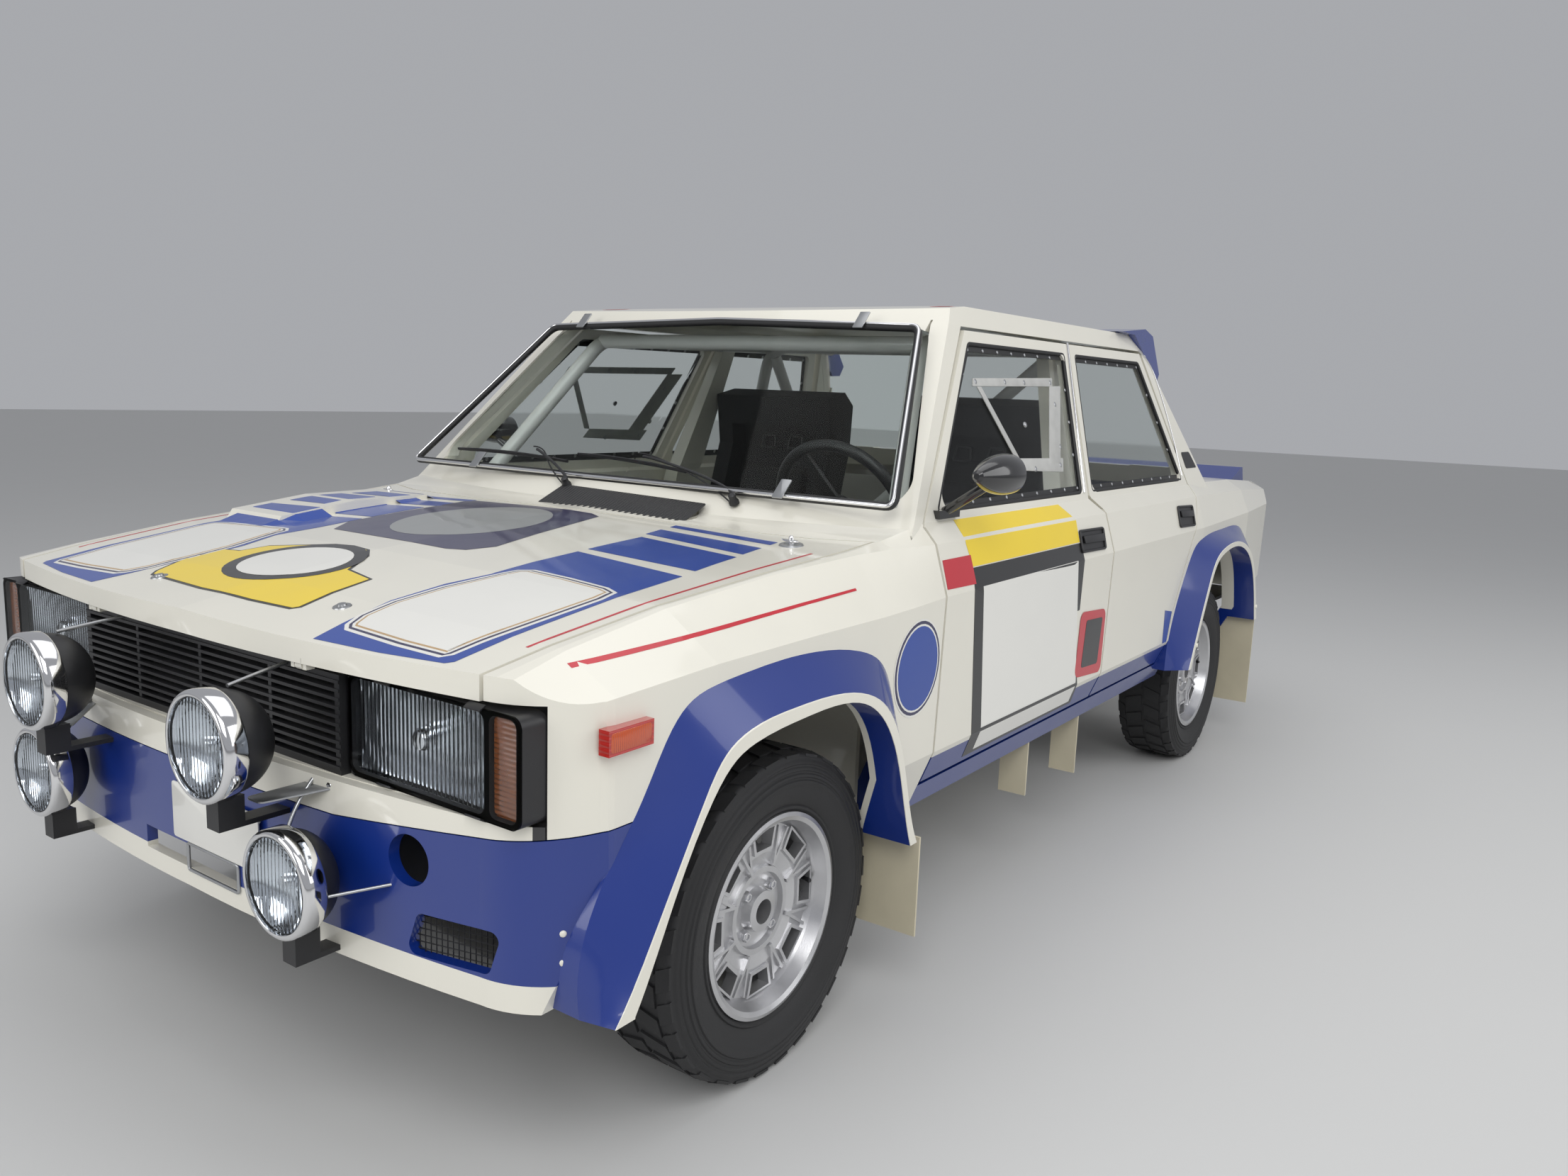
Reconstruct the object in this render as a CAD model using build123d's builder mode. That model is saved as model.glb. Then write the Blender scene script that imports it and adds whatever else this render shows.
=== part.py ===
from build123d import *
import math
import os

# Rally car, a four-door saloon. Millimetres. While it is drawn, X runs forward from the front
# axle, Y to the car's left and Z up from the ground. Each piece is moved on as it is written,
# so that the written model has its origin under the middle of the car.

# Driving sizes
wheelbase = 2424.0
tyre_radius = 290.0
tyre_width = 180.0
wheel_centre_y = 678.0
rim_radius = 181.0
rim_width = 152.0
nose_x = 612.0
tail_x = -3390.0
door_front_x = -470.0
door_seam_x = -1395.0
door_bottom_z = 408.0
door_gap = 8.0
frame_gap = 14.0
quarter_gap = 16.0
belt_z = 935.0
lower_line_z = 480.0
front_bottom_z = 335.0
bonnet_front_z = 788.0
panel_thickness = 14.0
lamp_outer_y = 748.0
glass_thickness = 5.0
steer_pivot_y = 600.0

# What stands furthest out at each end sets the written model's origin.
upper_spot_x = 735.0
lens_proud = 4.0
tail_lamp_proud = 12.0
origin_shift = -((upper_spot_x + lens_proud) + (tail_x - tail_lamp_proud)) / 2

os.makedirs("parts", exist_ok=True)


def write(piece, name):
    """Write one finished piece, moved to the written model's origin."""
    placed = piece.moved(Location((origin_shift, 0, 0)))
    placed.label = name
    export_step(placed, "parts/" + name + ".step")


def prism(points, plane, depth):
    """A closed outline on a plane, extruded along the plane's normal."""
    with BuildPart() as solid:
        with BuildSketch(plane):
            with BuildLine():
                Polyline(*points, close=True)
            make_face()
        extrude(amount=depth)
    return solid.part


def side_prism(points, y_low, y_high):
    """An outline of (x, z) points that fills y_low to y_high."""
    return prism(points, Plane.XZ.offset(-y_high), y_high - y_low)


def front_prism(points, x_low, x_high):
    """An outline of (y, z) points that fills x_low to x_high."""
    return prism(points, Plane.YZ.offset(x_low), x_high - x_low)


def plan_prism(points, z_low, z_high):
    """An outline of (x, y) points that fills z_low to z_high."""
    return prism(points, Plane.XY.offset(z_low), z_high - z_low)


def block(x_low, x_high, y_low, y_high, z_low, z_high):
    """A plain box between two corners."""
    corners = ((x_low, y_low), (x_high, y_low), (x_high, y_high), (x_low, y_high))
    return plan_prism(corners, z_low, z_high)


def rod(start, end, radius):
    """A round bar from one point to another."""
    run = Vector(*end) - Vector(*start)
    with BuildPart() as bar:
        with BuildSketch(Plane(origin=start, z_dir=run)):
            Circle(radius)
        extrude(amount=run.length)
    return bar.part


def both_sides(piece):
    """A left piece and its mirror image."""
    return piece + piece.mirror(Plane.XZ)


# The lower body's half sections, from nose to tail. Columns: x, then y and z of the top edge,
# the shoulder, the waist crease, the lower line and the bottom, and how far the middle stands up.
top_crown = 8.0
bonnet_crown = 12.0
body_sections = (
    (640, 690, bonnet_front_z, 722, 784, 748, 742, 790, lower_line_z, 745, front_bottom_z, bonnet_crown),
    (450, 690, 824, 702, 822, 797, 772, 797, lower_line_z, 745, front_bottom_z, bonnet_crown),
    (240, 690, 855, 700, 853, 803, 784, 797, lower_line_z, 745, 340, bonnet_crown),
    (-20, 705, 880, 712, 878, 804, 788, 797, lower_line_z, 745, 346, bonnet_crown),
    (-240, 718, 897, 735, 893, 805, 789, 797, lower_line_z, 745, 350, bonnet_crown),
    (-345, 722, 908, 752, 897, 806, 792, 797, lower_line_z, 745, 352, bonnet_crown),
    (door_front_x, 742, belt_z, 776, 897, 806, 797, 797, lower_line_z, 745, 352, top_crown),
    (-2195, 742, 938, 776, 902, 806, 806, 797, lower_line_z, 745, 352, top_crown),
    (-2800, 700, 925, 752, 892, 786, 815, 780, lower_line_z, 735, 400, top_crown),
    (-3400, 640, 890, 700, 862, 722, 815, 712, 540, 690, 470, top_crown),
)


def body_half(inset, drop, floor_drop=0.0):
    """The lower body's left half. Its sides stand in by inset and its top is lower by drop."""
    with BuildPart() as body:
        for x, y1, z1, y2, z2, y3, z3, y4, z4, y5, z5, crown in body_sections:
            foot = [(0, z5 - floor_drop), (y5 - inset, z5 - floor_drop)]
            if floor_drop:
                foot.append((y5 - inset, z5))
            with BuildSketch(Plane.YZ.offset(x)):
                with BuildLine():
                    Polyline(
                        *foot,
                        (y4 - inset, z4),
                        (y3 - inset, z3 - drop / 2),
                        (y2 - inset, z2 - drop),
                        (y1 - inset, z1 - drop),
                        (0, z1 + crown - drop),
                        close=True,
                    )
                make_face()
        loft(ruled=True)
    return body.part


# The body's outline from above: the nose is a flat arc with rounded corners.
def plan_outline(inset):
    """The left half of the body seen from above, as one tall solid."""
    with BuildPart() as outline:
        with BuildSketch(Plane.XY.offset(250)):
            with BuildLine():
                ThreePointArc((nose_x - inset, 0), (603 - inset, 333), (566 - inset, 660))
                ThreePointArc((566 - inset, 660), (540 - inset, 735 - inset), (470, 790 - inset))
                Line((470, 790 - inset), (400, 830 - inset))
                Line((400, 830 - inset), (-3200, 830 - inset))
                Line((-3200, 830 - inset), (-3250, 740 - inset))
                ThreePointArc((-3250, 740 - inset), (-3340, 690 - inset), (tail_x + 12 + inset, 600))
                Line((tail_x + 12 + inset, 600), (tail_x + inset, 0))
                Line((tail_x + inset, 0), (nose_x - inset, 0))
            make_face()
        extrude(amount=800)
    return outline.part


# The cabin above the belt
screen_base_x = -375.0
screen_side_x = -448.0
screen_base_z = 945.0
screen_run = (-395.0, 0.0, 417.0)
rear_glass_base_x = -2440.0
rear_glass_side_x = -2375.0
rear_glass_run = (345.0, 0.0, 432.0)
roof_edge = (583.0, 1385.0)
rail_corner = (602.0, 1340.0)
roof_top_z = 1410.0
cabin_floor_z = 880.0
side_lean = (742.0 - 602.0) / (1340.0 - belt_z)
cabin_floor_y = 742.0 + side_lean * (belt_z - cabin_floor_z)


def cabin_half(side, roof, glass):
    """The cabin's left half, with its side, roof and screens each set in by a wall."""
    with BuildPart() as section:
        with BuildSketch(Plane.YZ.offset(-2600)):
            with BuildLine():
                Polyline(
                    (0, roof_top_z - roof),
                    (0, cabin_floor_z),
                    (cabin_floor_y - side, cabin_floor_z),
                    (rail_corner[0] - side, rail_corner[1]),
                    (roof_edge[0] - side, roof_edge[1] - roof),
                )
                ThreePointArc(
                    (roof_edge[0] - side, roof_edge[1] - roof),
                    (300, roof_top_z - 7 - roof),
                    (0, roof_top_z - roof),
                )
            make_face()
        extrude(amount=2400)
    with BuildPart() as silhouette:
        with BuildSketch(Plane.XZ.offset(-900)):
            with BuildLine():
                Line((-200, 800), (-200, roof_top_z - 42 - roof))
                Line((-200, roof_top_z - 42 - roof), (-765, roof_top_z - 42 - roof))
                ThreePointArc(
                    (-765, roof_top_z - 42 - roof), (-1250, roof_top_z + 1 - roof), (-2090, roof_top_z - 28 - roof)
                )
                Line((-2090, roof_top_z - 28 - roof), (-2600, roof_top_z - 80 - roof))
                Line((-2600, roof_top_z - 80 - roof), (-2600, 800))
                Line((-2600, 800), (-200, 800))
            make_face()
        extrude(amount=1800)
    # Each screen is an arc from above, swept up along its glass.
    low = cabin_floor_z - 20
    front_shift = (screen_base_z - low) * -screen_run[0] / screen_run[2]
    rear_shift = (screen_base_z - low) * rear_glass_run[0] / rear_glass_run[2]
    front_x = screen_base_x - glass + front_shift
    front_side_x = screen_side_x - glass + front_shift
    rear_x = rear_glass_base_x + glass - rear_shift
    rear_side_x = rear_glass_side_x + glass - rear_shift
    with BuildPart() as windscreen_cut:
        with BuildSketch(Plane.XY.offset(low)):
            with BuildLine():
                ThreePointArc((front_x, 0), (front_x - 20, 372), (front_side_x, 742))
                Polyline((front_side_x, 742), (front_side_x, 800), (-3600, 800), (-3600, 0), (front_x, 0))
            make_face()
        extrude(amount=800, dir=screen_run)
    with BuildPart() as rear_cut:
        with BuildSketch(Plane.XY.offset(low)):
            with BuildLine():
                ThreePointArc((rear_x, 0), (rear_x + 18, 372), (rear_side_x, 742))
                Polyline((rear_side_x, 742), (rear_side_x, 800), (900, 800), (900, 0), (rear_x, 0))
            make_face()
        extrude(amount=800, dir=rear_glass_run)
    return section.part & silhouette.part & windscreen_cut.part & rear_cut.part


def trimmed_prism(points, radius, plane, depth):
    """An extruded outline whose corners are all rounded."""
    with BuildPart() as solid:
        with BuildSketch(plane) as outline:
            with BuildLine():
                Polyline(*points, close=True)
            make_face()
            fillet(outline.vertices(), radius=radius)
        extrude(amount=depth)
    return solid.part


body_outer = body_half(0, 0) & plan_outline(0)
cabin_outer = cabin_half(0, 0, 0)
car_outer = body_outer + cabin_outer

# Wheel openings, as (x, z) outlines
front_opening = (
    (475, 240),
    (462, 340),
    (398, 455),
    (312, 595),
    (249, 653),
    (198, 668),
    (87, 678),
    (-37, 678),
    (-117, 659),
    (-165, 628),
    (-200, 588),
    (-252, 470),
    (-300, 340),
    (-315, 240),
)
rear_opening = (
    (-2016, 300),
    (-2030, 380),
    (-2087, 495),
    (-2156, 615),
    (-2216, 693),
    (-2303, 724),
    (-2528, 716),
    (-2628, 667),
    (-2716, 552),
    (-2775, 395),
    (-2785, 300),
)


def arch_prism(points, y_low, y_high):
    """A wheel arch of (x, z) points, smooth but for its two feet, that fills y_low to y_high."""
    with BuildPart() as solid:
        with BuildSketch(Plane.XZ.offset(-y_high)):
            with BuildLine():
                Spline(*points[1:-1])
                Polyline(points[-2], points[-1], points[0], points[1])
            make_face()
        extrude(amount=y_high - y_low)
    return solid.part


front_wheel_hole = arch_prism(front_opening, 430, 900)
rear_wheel_hole = arch_prism(rear_opening, 570, 900)

# Doors
door_rear_x = -2195.0
rail_z = 1334.0
belt_seam_x = -1360.0
top_seam_x = -1470.0
post_clearance = 24.0

# Each door turns on two pins set back from its front edge and a little inside its skin.
hinge_set_back = 55.0
hinge_y = 790.0
hinge_heights = (600.0, 790.0)
hinge_pin_radius = 4.0
hinge_eye_radius = 6.5
hinge_fit = 0.3
hinge_half_height = 12.0


def front_door_outline(gap, upper_gap):
    """The front door's shut line as (x, z) points, smaller by a gap all round."""
    return (
        (door_front_x - gap, door_bottom_z + gap),
        (door_front_x - gap, 928),
        (-862 - upper_gap, rail_z - gap),
        (top_seam_x + upper_gap, rail_z - gap),
        (belt_seam_x + upper_gap, belt_z + 5 - gap),
        (door_seam_x + gap, 905 - gap),
        (door_seam_x + gap, door_bottom_z + gap),
    )


def rear_door_outline(gap, upper_gap, rear_gap):
    """The rear door's shut line as (x, z) points, smaller by a gap all round."""
    return (
        (door_seam_x - gap, door_bottom_z + gap),
        (door_seam_x - gap, 905 + gap),
        (belt_seam_x - upper_gap, belt_z + 5 + gap),
        (top_seam_x - upper_gap, rail_z - gap),
        (-2045 + rear_gap, rail_z - gap),
        (door_rear_x + gap, belt_z),
        (-2150 + gap, 850),
        (-2094 + gap, 790),
        (-2032 + gap, 690),
        (-1958 + gap, 550),
        (-1936 + gap, door_bottom_z + gap),
    )


front_window = ((-545, 950), (-1322, 950), (-1430, 1302), (-870, 1302))
rear_window_hole = ((-1392, 950), (-2148, 950), (-2010, 1302), (-1502, 1302))
window_radius = 26.0

# What is inside the doors, as (y, z) points: a thick lower door, a waist ledge and a thin frame
door_inside = ((0, 300), (722, 300), (727, 480), (736, 800), (704, 912), (719, 922), (577, 1334), (577, 1345), (0, 1345))
door_inner = front_prism(door_inside, -2300, -400)
door_skin = car_outer - door_inner


def door(outline, window):
    """One left door: the body's skin inside its shut line, with its window cut."""
    shape = side_prism(outline, 640, 900) + side_prism(outline, 560, 700) & block(
        -2300, -400, 560, 900, 300, 1400
    )
    hole = trimmed_prism(window, window_radius, Plane.XZ.offset(-800), 300)
    return (door_skin & shape) - hole




def hinge_pocket(x, z):
    """The space in a door where one hinge arm swings."""
    outline = (
        (x - 8.5, hinge_y - 110),
        (x - 8.5, hinge_y),
        (x - 6, hinge_y + 6),
        (x, hinge_y + 8.5),
        (x + 3.6, hinge_y + 7.7),
        (x + 70, hinge_y - 23),
        (x + 70, hinge_y - 110),
    )
    return plan_prism(outline, z - hinge_half_height - 5, z + hinge_half_height + 5)


def hinge_pin(x, z):
    """The pin across a hinge pocket."""
    low = z - hinge_half_height - 7
    return rod((x, hinge_y, low), (x, hinge_y, low + 2 * hinge_half_height + 14), hinge_pin_radius)


def hinge_arm(x, z, root):
    """One arm on the body: an eye round the pin, and a root given as (x, y) points."""
    low = z - hinge_half_height
    arm = block(x - hinge_eye_radius, x + hinge_eye_radius, 690, hinge_y, low, z + hinge_half_height)
    arm = arm + rod((x, hinge_y, low), (x, hinge_y, z + hinge_half_height), hinge_eye_radius)
    arm = arm + plan_prism(root, low, z + hinge_half_height)
    return arm - rod((x, hinge_y, low - 2), (x, hinge_y, low + 40), hinge_pin_radius + hinge_fit)


front_hinge_x = door_front_x - hinge_set_back
rear_hinge_x = door_seam_x - hinge_set_back
front_door = door(front_door_outline(door_gap / 2, frame_gap / 2), front_window)
rear_door = door(rear_door_outline(door_gap / 2, frame_gap / 2, quarter_gap / 2), rear_window_hole)
# The front door's rear face leans forward inside, so that it swings clear of the rear door.
shut_face_draft = 6.0
shut_face_x = door_seam_x + door_gap / 2
front_door = front_door - plan_prism(
    ((shut_face_x - 1, 806), (shut_face_x + shut_face_draft, 690), (shut_face_x - 20, 690), (shut_face_x - 20, 806)),
    400,
    960,
)
for z in hinge_heights:
    front_door = front_door - hinge_pocket(front_hinge_x, z) + hinge_pin(front_hinge_x, z)
    rear_door = rear_door - hinge_pocket(rear_hinge_x, z) + hinge_pin(rear_hinge_x, z)

# Side windows are clear sheets that fill their holes, set in from the frame's face.
glass_outer = cabin_half(9, 0, 0)
glass_inner = cabin_half(9 + glass_thickness, 0, 0)
side_sheet = (glass_outer - glass_inner) & block(-2300, -400, 500, 800, 940, 1330)


def door_glass(window):
    """The clear sheet of one left door."""
    return side_sheet & trimmed_prism(window, window_radius, Plane.XZ.offset(-800), 300)


front_glass = door_glass(front_window)
rear_glass = door_glass(rear_window_hole)


# Side frames: pillars, roof rails, sills and rear quarters, left and right
roof_split_y = 557.0
boot_side_y = 615.0
boot_front_x = -2478.0
tail_split_x = -3318.0
cowl_x = -262.0
cowl_side_y = 733.0
bonnet_rear = ((cowl_x, 0), (cowl_x - 10, 350), (cowl_x - 36, 600), (cowl_x - 76, 717))
screen_opening = ((-719, 962), (719, 962), (566, 1326), (0, 1342), (-566, 1326))
rear_glass_opening = ((-690, 978), (690, 978), (556, 1322), (0, 1342), (-556, 1322))
screen_corner = 42.0
frame_inside = (
    (0, 250),
    (655, 250),
    (655, 425),
    (752, 470),
    (758, 790),
    (735, 880),
    (702, 935),
    (562, 1338),
    (562, 1348),
    (0, 1348),
)
cabin_inner = cabin_half(40, 24, 45)
quarter_wall = 42.0
frame_inner = front_prism(frame_inside, door_rear_x, -380) + (
    body_half(quarter_wall, 30, 200) & block(-3420, door_rear_x, 0, 800, 200, 1000)
)
screen_hole = trimmed_prism(screen_opening, screen_corner, Plane.YZ.offset(-1000), 800)
rear_hole = trimmed_prism(rear_glass_opening, screen_corner, Plane.YZ.offset(-2600), 600)
door_holes = (
    side_prism(front_door_outline(-door_gap / 2, -frame_gap / 2), 430, 900)
    + side_prism(rear_door_outline(-door_gap / 2, -frame_gap / 2, -quarter_gap / 2), 430, 900)
)

side_shell = (body_outer & block(tail_split_x, -466, 500, 900, 300, 960)) + (
    cabin_outer & block(-2500, -420, 500, 900, 895, 1420)
)
side_shell = side_shell - frame_inner
side_shell = side_shell - (cabin_inner & block(-2600, -300, 0, 700, 900, 1400))
side_shell = side_shell - door_holes - rear_wheel_hole - screen_hole - rear_hole
side_shell = side_shell - block(-3400, 700, 0, roof_split_y, 1290, 1420)
side_shell = side_shell - block(-3400, boot_front_x, 0, boot_side_y + 3, 500, 960)

# The hinge pillar closes the front wing and carries the front door.
hinge_pillar = (body_half(panel_thickness + 2, 16) - body_half(100, 200, 200)) & block(
    -466, -396, 600, 900, 352, 885
)
hinge_pillar = hinge_pillar - front_wheel_hole + block(-490, -396, 660, 735, 352, 400)
# The centre post stands inside the doors' shut line.
centre_post_outer = front_prism(
    (
        (0, 352),
        (722 - post_clearance, 352),
        (727 - post_clearance, 480),
        (736 - post_clearance, 800),
        (704 - post_clearance, 912),
        (668, 935),
        (577 - post_clearance, 1334),
        (0, 1334),
    ),
    -1510,
    -1300,
)
centre_post_inner = front_prism(
    ((0, 340), (655, 340), (655, 800), (630, 912), (620, 935), (520, 1340), (0, 1340)), -1520, -1290
)
centre_post = (centre_post_outer - centre_post_inner) & side_prism(
    ((-1350, 352), (-1450, 352), (-1450, 900), (-1505, 1334), (-1450, 1334), (-1345, 920)), 500, 760
)
side_frame = side_shell + hinge_pillar + centre_post
for z in hinge_heights:
    front_root = (
        (front_hinge_x - hinge_eye_radius, 692),
        (-430, 692),
        (-430, 712),
        (front_hinge_x - hinge_eye_radius, 712),
    )
    side_frame = side_frame + hinge_arm(front_hinge_x, z, front_root)
    rear_root = (
        (rear_hinge_x - hinge_eye_radius, 670),
        (-1430, 670),
        (-1430, 712),
        (rear_hinge_x - hinge_eye_radius, 712),
    )
    side_frame = side_frame + hinge_arm(rear_hinge_x, z, rear_root)

# Jacking pads stand proud under each sill.
sill_z = 352.0
jack_pad_places = (-600.0, -1800.0)
jack_pad_y = 700.0
jack_pad_thickness = 6.0
for x in jack_pad_places:
    side_frame = side_frame + block(
        x - 35, x + 35, jack_pad_y - 25, jack_pad_y + 25, sill_z - jack_pad_thickness, sill_z
    )

# Roof, screens and cowl
roof_half = (cabin_outer - cabin_half(26, 24, 45)) & block(-2600, -600, 0, roof_split_y, 1290, 1420)
roof_half = roof_half - screen_hole - rear_hole
screen_sheet = cabin_half(0, 0, 8) - cabin_half(0, 0, 8 + glass_thickness)
windscreen_half = (screen_sheet & screen_hole) & block(-1000, -300, 0, 800, 900, 1400)
rear_screen_half = (screen_sheet & rear_hole) & block(-2600, -2000, 0, 800, 900, 1400)
cowl_area = plan_prism((*bonnet_rear, (-466.5, cowl_side_y), (-600, cowl_side_y), (-600, 0)), 880, 962)
cowl_half = (car_outer - body_half(panel_thickness, panel_thickness) - cabin_half(40, 24, 45)) & cowl_area
cowl_half = cowl_half - side_shell - screen_hole - block(-600, -466, 696, 900, 880, 962)
firewall_x = -350.0
firewall_fit = 0.3
firewall_half = block(firewall_x - 12, firewall_x, 0, 690, 357, 900)

# The cowl's air intake is a row of slats, to the left of the middle.
intake_outline = ((-320, -126), (-370, -66), (-368, 262), (-316, 296), (-284, 268), (-288, -96))
slat_count = 24
slat_pitch = 18.0
slat_thickness = 5.0
with BuildPart() as intake_builder:
    with BuildSketch(Plane.XY.offset(880)) as intake_sketch:
        with BuildLine():
            Polyline(*intake_outline, close=True)
        make_face()
        fillet(intake_sketch.vertices(), radius=8)
    extrude(amount=90)
    with BuildSketch(Plane.XY.offset(870)):
        with Locations((-326, 85)):
            with GridLocations(0, slat_pitch, 1, slat_count):
                Rectangle(120, slat_thickness)
    extrude(amount=110, mode=Mode.SUBTRACT)
intake = intake_builder.part

# Rear deck strip and tail panel
deck_half = (car_outer - body_half(quarter_wall, 24) - cabin_half(40, 24, 45)) & block(
    boot_front_x + 4, -2300, 0, boot_side_y, 880, 975
)
deck_half = deck_half - side_shell - rear_hole
lid_face_z = 762.0
tail_half = (body_outer - body_half(quarter_wall, 30, 200)) & block(-3400, tail_split_x, 0, 760, 300, 960)
tail_inner = plan_outline(26)
tail_half = ((body_outer - tail_inner) & block(-3400, -3200, 0, 760, 300, 960)) - side_shell
tail_half = tail_half - block(-3400, boot_front_x, 0, boot_side_y + 3, lid_face_z - 6, 960)


# Front wings
wing_area = plan_prism(
    ((700, 661.5), (700, 900), (-466.5, 900), (-466.5, cowl_side_y), bonnet_rear[-1]),
    300,
    1000,
)
wing_shell = body_outer - (
    body_half(panel_thickness, panel_thickness, 100) & plan_outline(panel_thickness)
)
valance_edge = ((0, 549), (380, 549), (900, 598))
valance_joint = 2.0
valance_rear_x = 330.0
wing = (wing_shell & wing_area) - front_wheel_hole
valance_room = ((0, 300), *[(y, z + valance_joint) for y, z in valance_edge], (900, 300))
wing = wing - front_prism(valance_room, valance_rear_x - 4, 700)
wing = wing - block(500, 700, 0, lamp_outer_y + 2, 300, 768) - cabin_outer - side_frame

# Bonnet, hinged at its front edge
bonnet_gap = 7.0
bonnet_area = plan_prism(
    (
        (700, 0),
        (700, 661.5 - bonnet_gap),
        *[(x + bonnet_gap, y - bonnet_gap if y else y) for x, y in reversed(bonnet_rear)],
    ),
    740,
    1000,
)
bonnet_skin = 18.0
bonnet_half = (body_outer - (body_half(40, bonnet_skin, 100) & plan_outline(bonnet_skin))) & bonnet_area
bonnet_half = bonnet_half - block(500, 700, 0, 700, 700, 766)

# The bonnet turns on a pin at each side of its front edge.
bonnet_hinge_x = 594.0
bonnet_hinge_z = 762.0
bonnet_hinge_y = 308.0
bonnet_pin_radius = 4.0
bonnet_eye_radius = 8.0
hinge_strap_half = 8.0
strap_room = 3.0
cheek_width = 8.0
cheek_y = hinge_strap_half + strap_room
bonnet_half = bonnet_half - block(
    480, 604, bonnet_hinge_y - cheek_y, bonnet_hinge_y + cheek_y, 740, 774
)
bonnet_pin_end = cheek_y + cheek_width
bonnet_half = bonnet_half + rod(
    (bonnet_hinge_x, bonnet_hinge_y - bonnet_pin_end, bonnet_hinge_z),
    (bonnet_hinge_x, bonnet_hinge_y + bonnet_pin_end, bonnet_hinge_z),
    bonnet_pin_radius,
)
for y in (bonnet_hinge_y - bonnet_pin_end, bonnet_hinge_y + cheek_y):
    bonnet_half = bonnet_half + block(
        bonnet_hinge_x - 7, bonnet_hinge_x + 7, y, y + cheek_width, bonnet_hinge_z - 5, bonnet_hinge_z + 28
    )

# Boot lid with its raised tail
lid_gap = 6.0
lid_area = block(-3420, boot_front_x - 9, 0, boot_side_y - lid_gap / 2, lid_face_z, 1000)
lid_half = (body_outer - (body_half(40, 20, 100) & plan_outline(20))) & lid_area
tail_lip = ((-3190, 893), (-3345, 945), (-3362, 945), (-3392, 880), (-3386, 870))
lip_half = side_prism(tail_lip, 0, 609) - body_outer
lid_half = lid_half + lip_half

# The boot lid turns on a pin at each side of its front edge.
lid_hinge_x = boot_front_x - 2.0
lid_hinge_y = 400.0
lid_hinge_z = 934.0
lid_pin_radius = 3.0
lid_eye_radius = 6.0
lid_hinge_half = 20.0
lid_cheek = 12.0


def lid_rod(y_low, y_high, radius):
    """A round bar on the boot lid's hinge line."""
    return rod((lid_hinge_x, y_low, lid_hinge_z), (lid_hinge_x, y_high, lid_hinge_z), radius)


eye_low_y = lid_hinge_y - lid_hinge_half
eye_high_y = lid_hinge_y + lid_hinge_half
lid_pin_low = eye_low_y - 1 - lid_cheek
lid_pin_high = eye_high_y + 1 + lid_cheek
lid_half = lid_half - lid_rod(eye_low_y - 1, eye_high_y + 1, lid_eye_radius + 3)
lid_half = lid_half + lid_rod(lid_pin_low, eye_low_y - 1, lid_eye_radius)
lid_half = lid_half + lid_rod(eye_high_y + 1, lid_pin_high, lid_eye_radius)
lid_half = lid_half + lid_rod(lid_pin_low, lid_pin_high, lid_pin_radius)
lid_half = lid_half + block(boot_front_x - 24, lid_hinge_x, lid_pin_low, eye_low_y - 1, 923, 932)
lid_half = lid_half + block(boot_front_x - 24, lid_hinge_x, eye_high_y + 1, lid_pin_high, 923, 932)
deck_half = deck_half - lid_rod(lid_pin_low - 3, lid_pin_high + 3, lid_eye_radius + 3)
deck_eye = lid_rod(eye_low_y, eye_high_y, lid_eye_radius)
deck_eye = deck_eye + block(lid_hinge_x, boot_front_x + 24, eye_low_y, eye_high_y, 923, 932)
deck_half = deck_half + (deck_eye - lid_rod(lid_pin_low, lid_pin_high, lid_pin_radius + hinge_fit))

# Front valance with its ducts
valance_solid = body_outer & front_prism(((0, 300), *valance_edge, (900, 300)), 200, 700)
valance_wall = 18.0
nose_inside = plan_outline(valance_wall) & body_half(valance_wall, valance_wall, 200)
valance_half = (valance_solid - nose_inside) & block(valance_rear_x, 700, 0, 900, 300, 700)
valance_half = valance_half - front_wheel_hole
duct_outline = ((525, 377), (676, 383), (697, 448), (548, 442))
duct = trimmed_prism(duct_outline, 14, Plane.YZ.offset(400), 300)
round_hole = rod((400, 532, 516), (700, 532, 516), 38)
slot_outline = ((-1, 368), (142, 368), (142, 408), (-1, 408))
centre_slot = front_prism(slot_outline, 400, 700)
valance_half = valance_half - duct - round_hole - centre_slot


# Wheel flares. Columns: x and z of the flange on the body, then x and z of the outer lip.
front_flare_table = (
    (400, 337, 400, 337),
    (512, 337, 500, 337),
    (468, 520, 412, 462),
    (403, 608, 326, 600),
    (364, 672, 268, 668),
    (310, 739, 217, 688),
    (197, 766, 108, 698),
    (67, 773, -14, 696),
    (-50, 768, -116, 676),
    (-164, 749, -178, 643),
    (-238, 718, -216, 600),
    (-300, 600, -268, 476),
    (-345, 352, -318, 352),
    (-250, 352, -250, 352),
)
rear_flare_table = (
    (-2100, 388, -2100, 388),
    (-1950, 388, -2012, 388),
    (-1975, 552, -2072, 500),
    (-2051, 696, -2143, 624),
    (-2110, 762, -2207, 707),
    (-2193, 783, -2299, 739),
    (-2491, 785, -2533, 731),
    (-2680, 765, -2640, 682),
    (-2800, 650, -2735, 560),
    (-2850, 440, -2792, 440),
    (-2700, 440, -2700, 440),
)
flare_root_y = 796.0
flare_lip_y = 852.0


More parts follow.
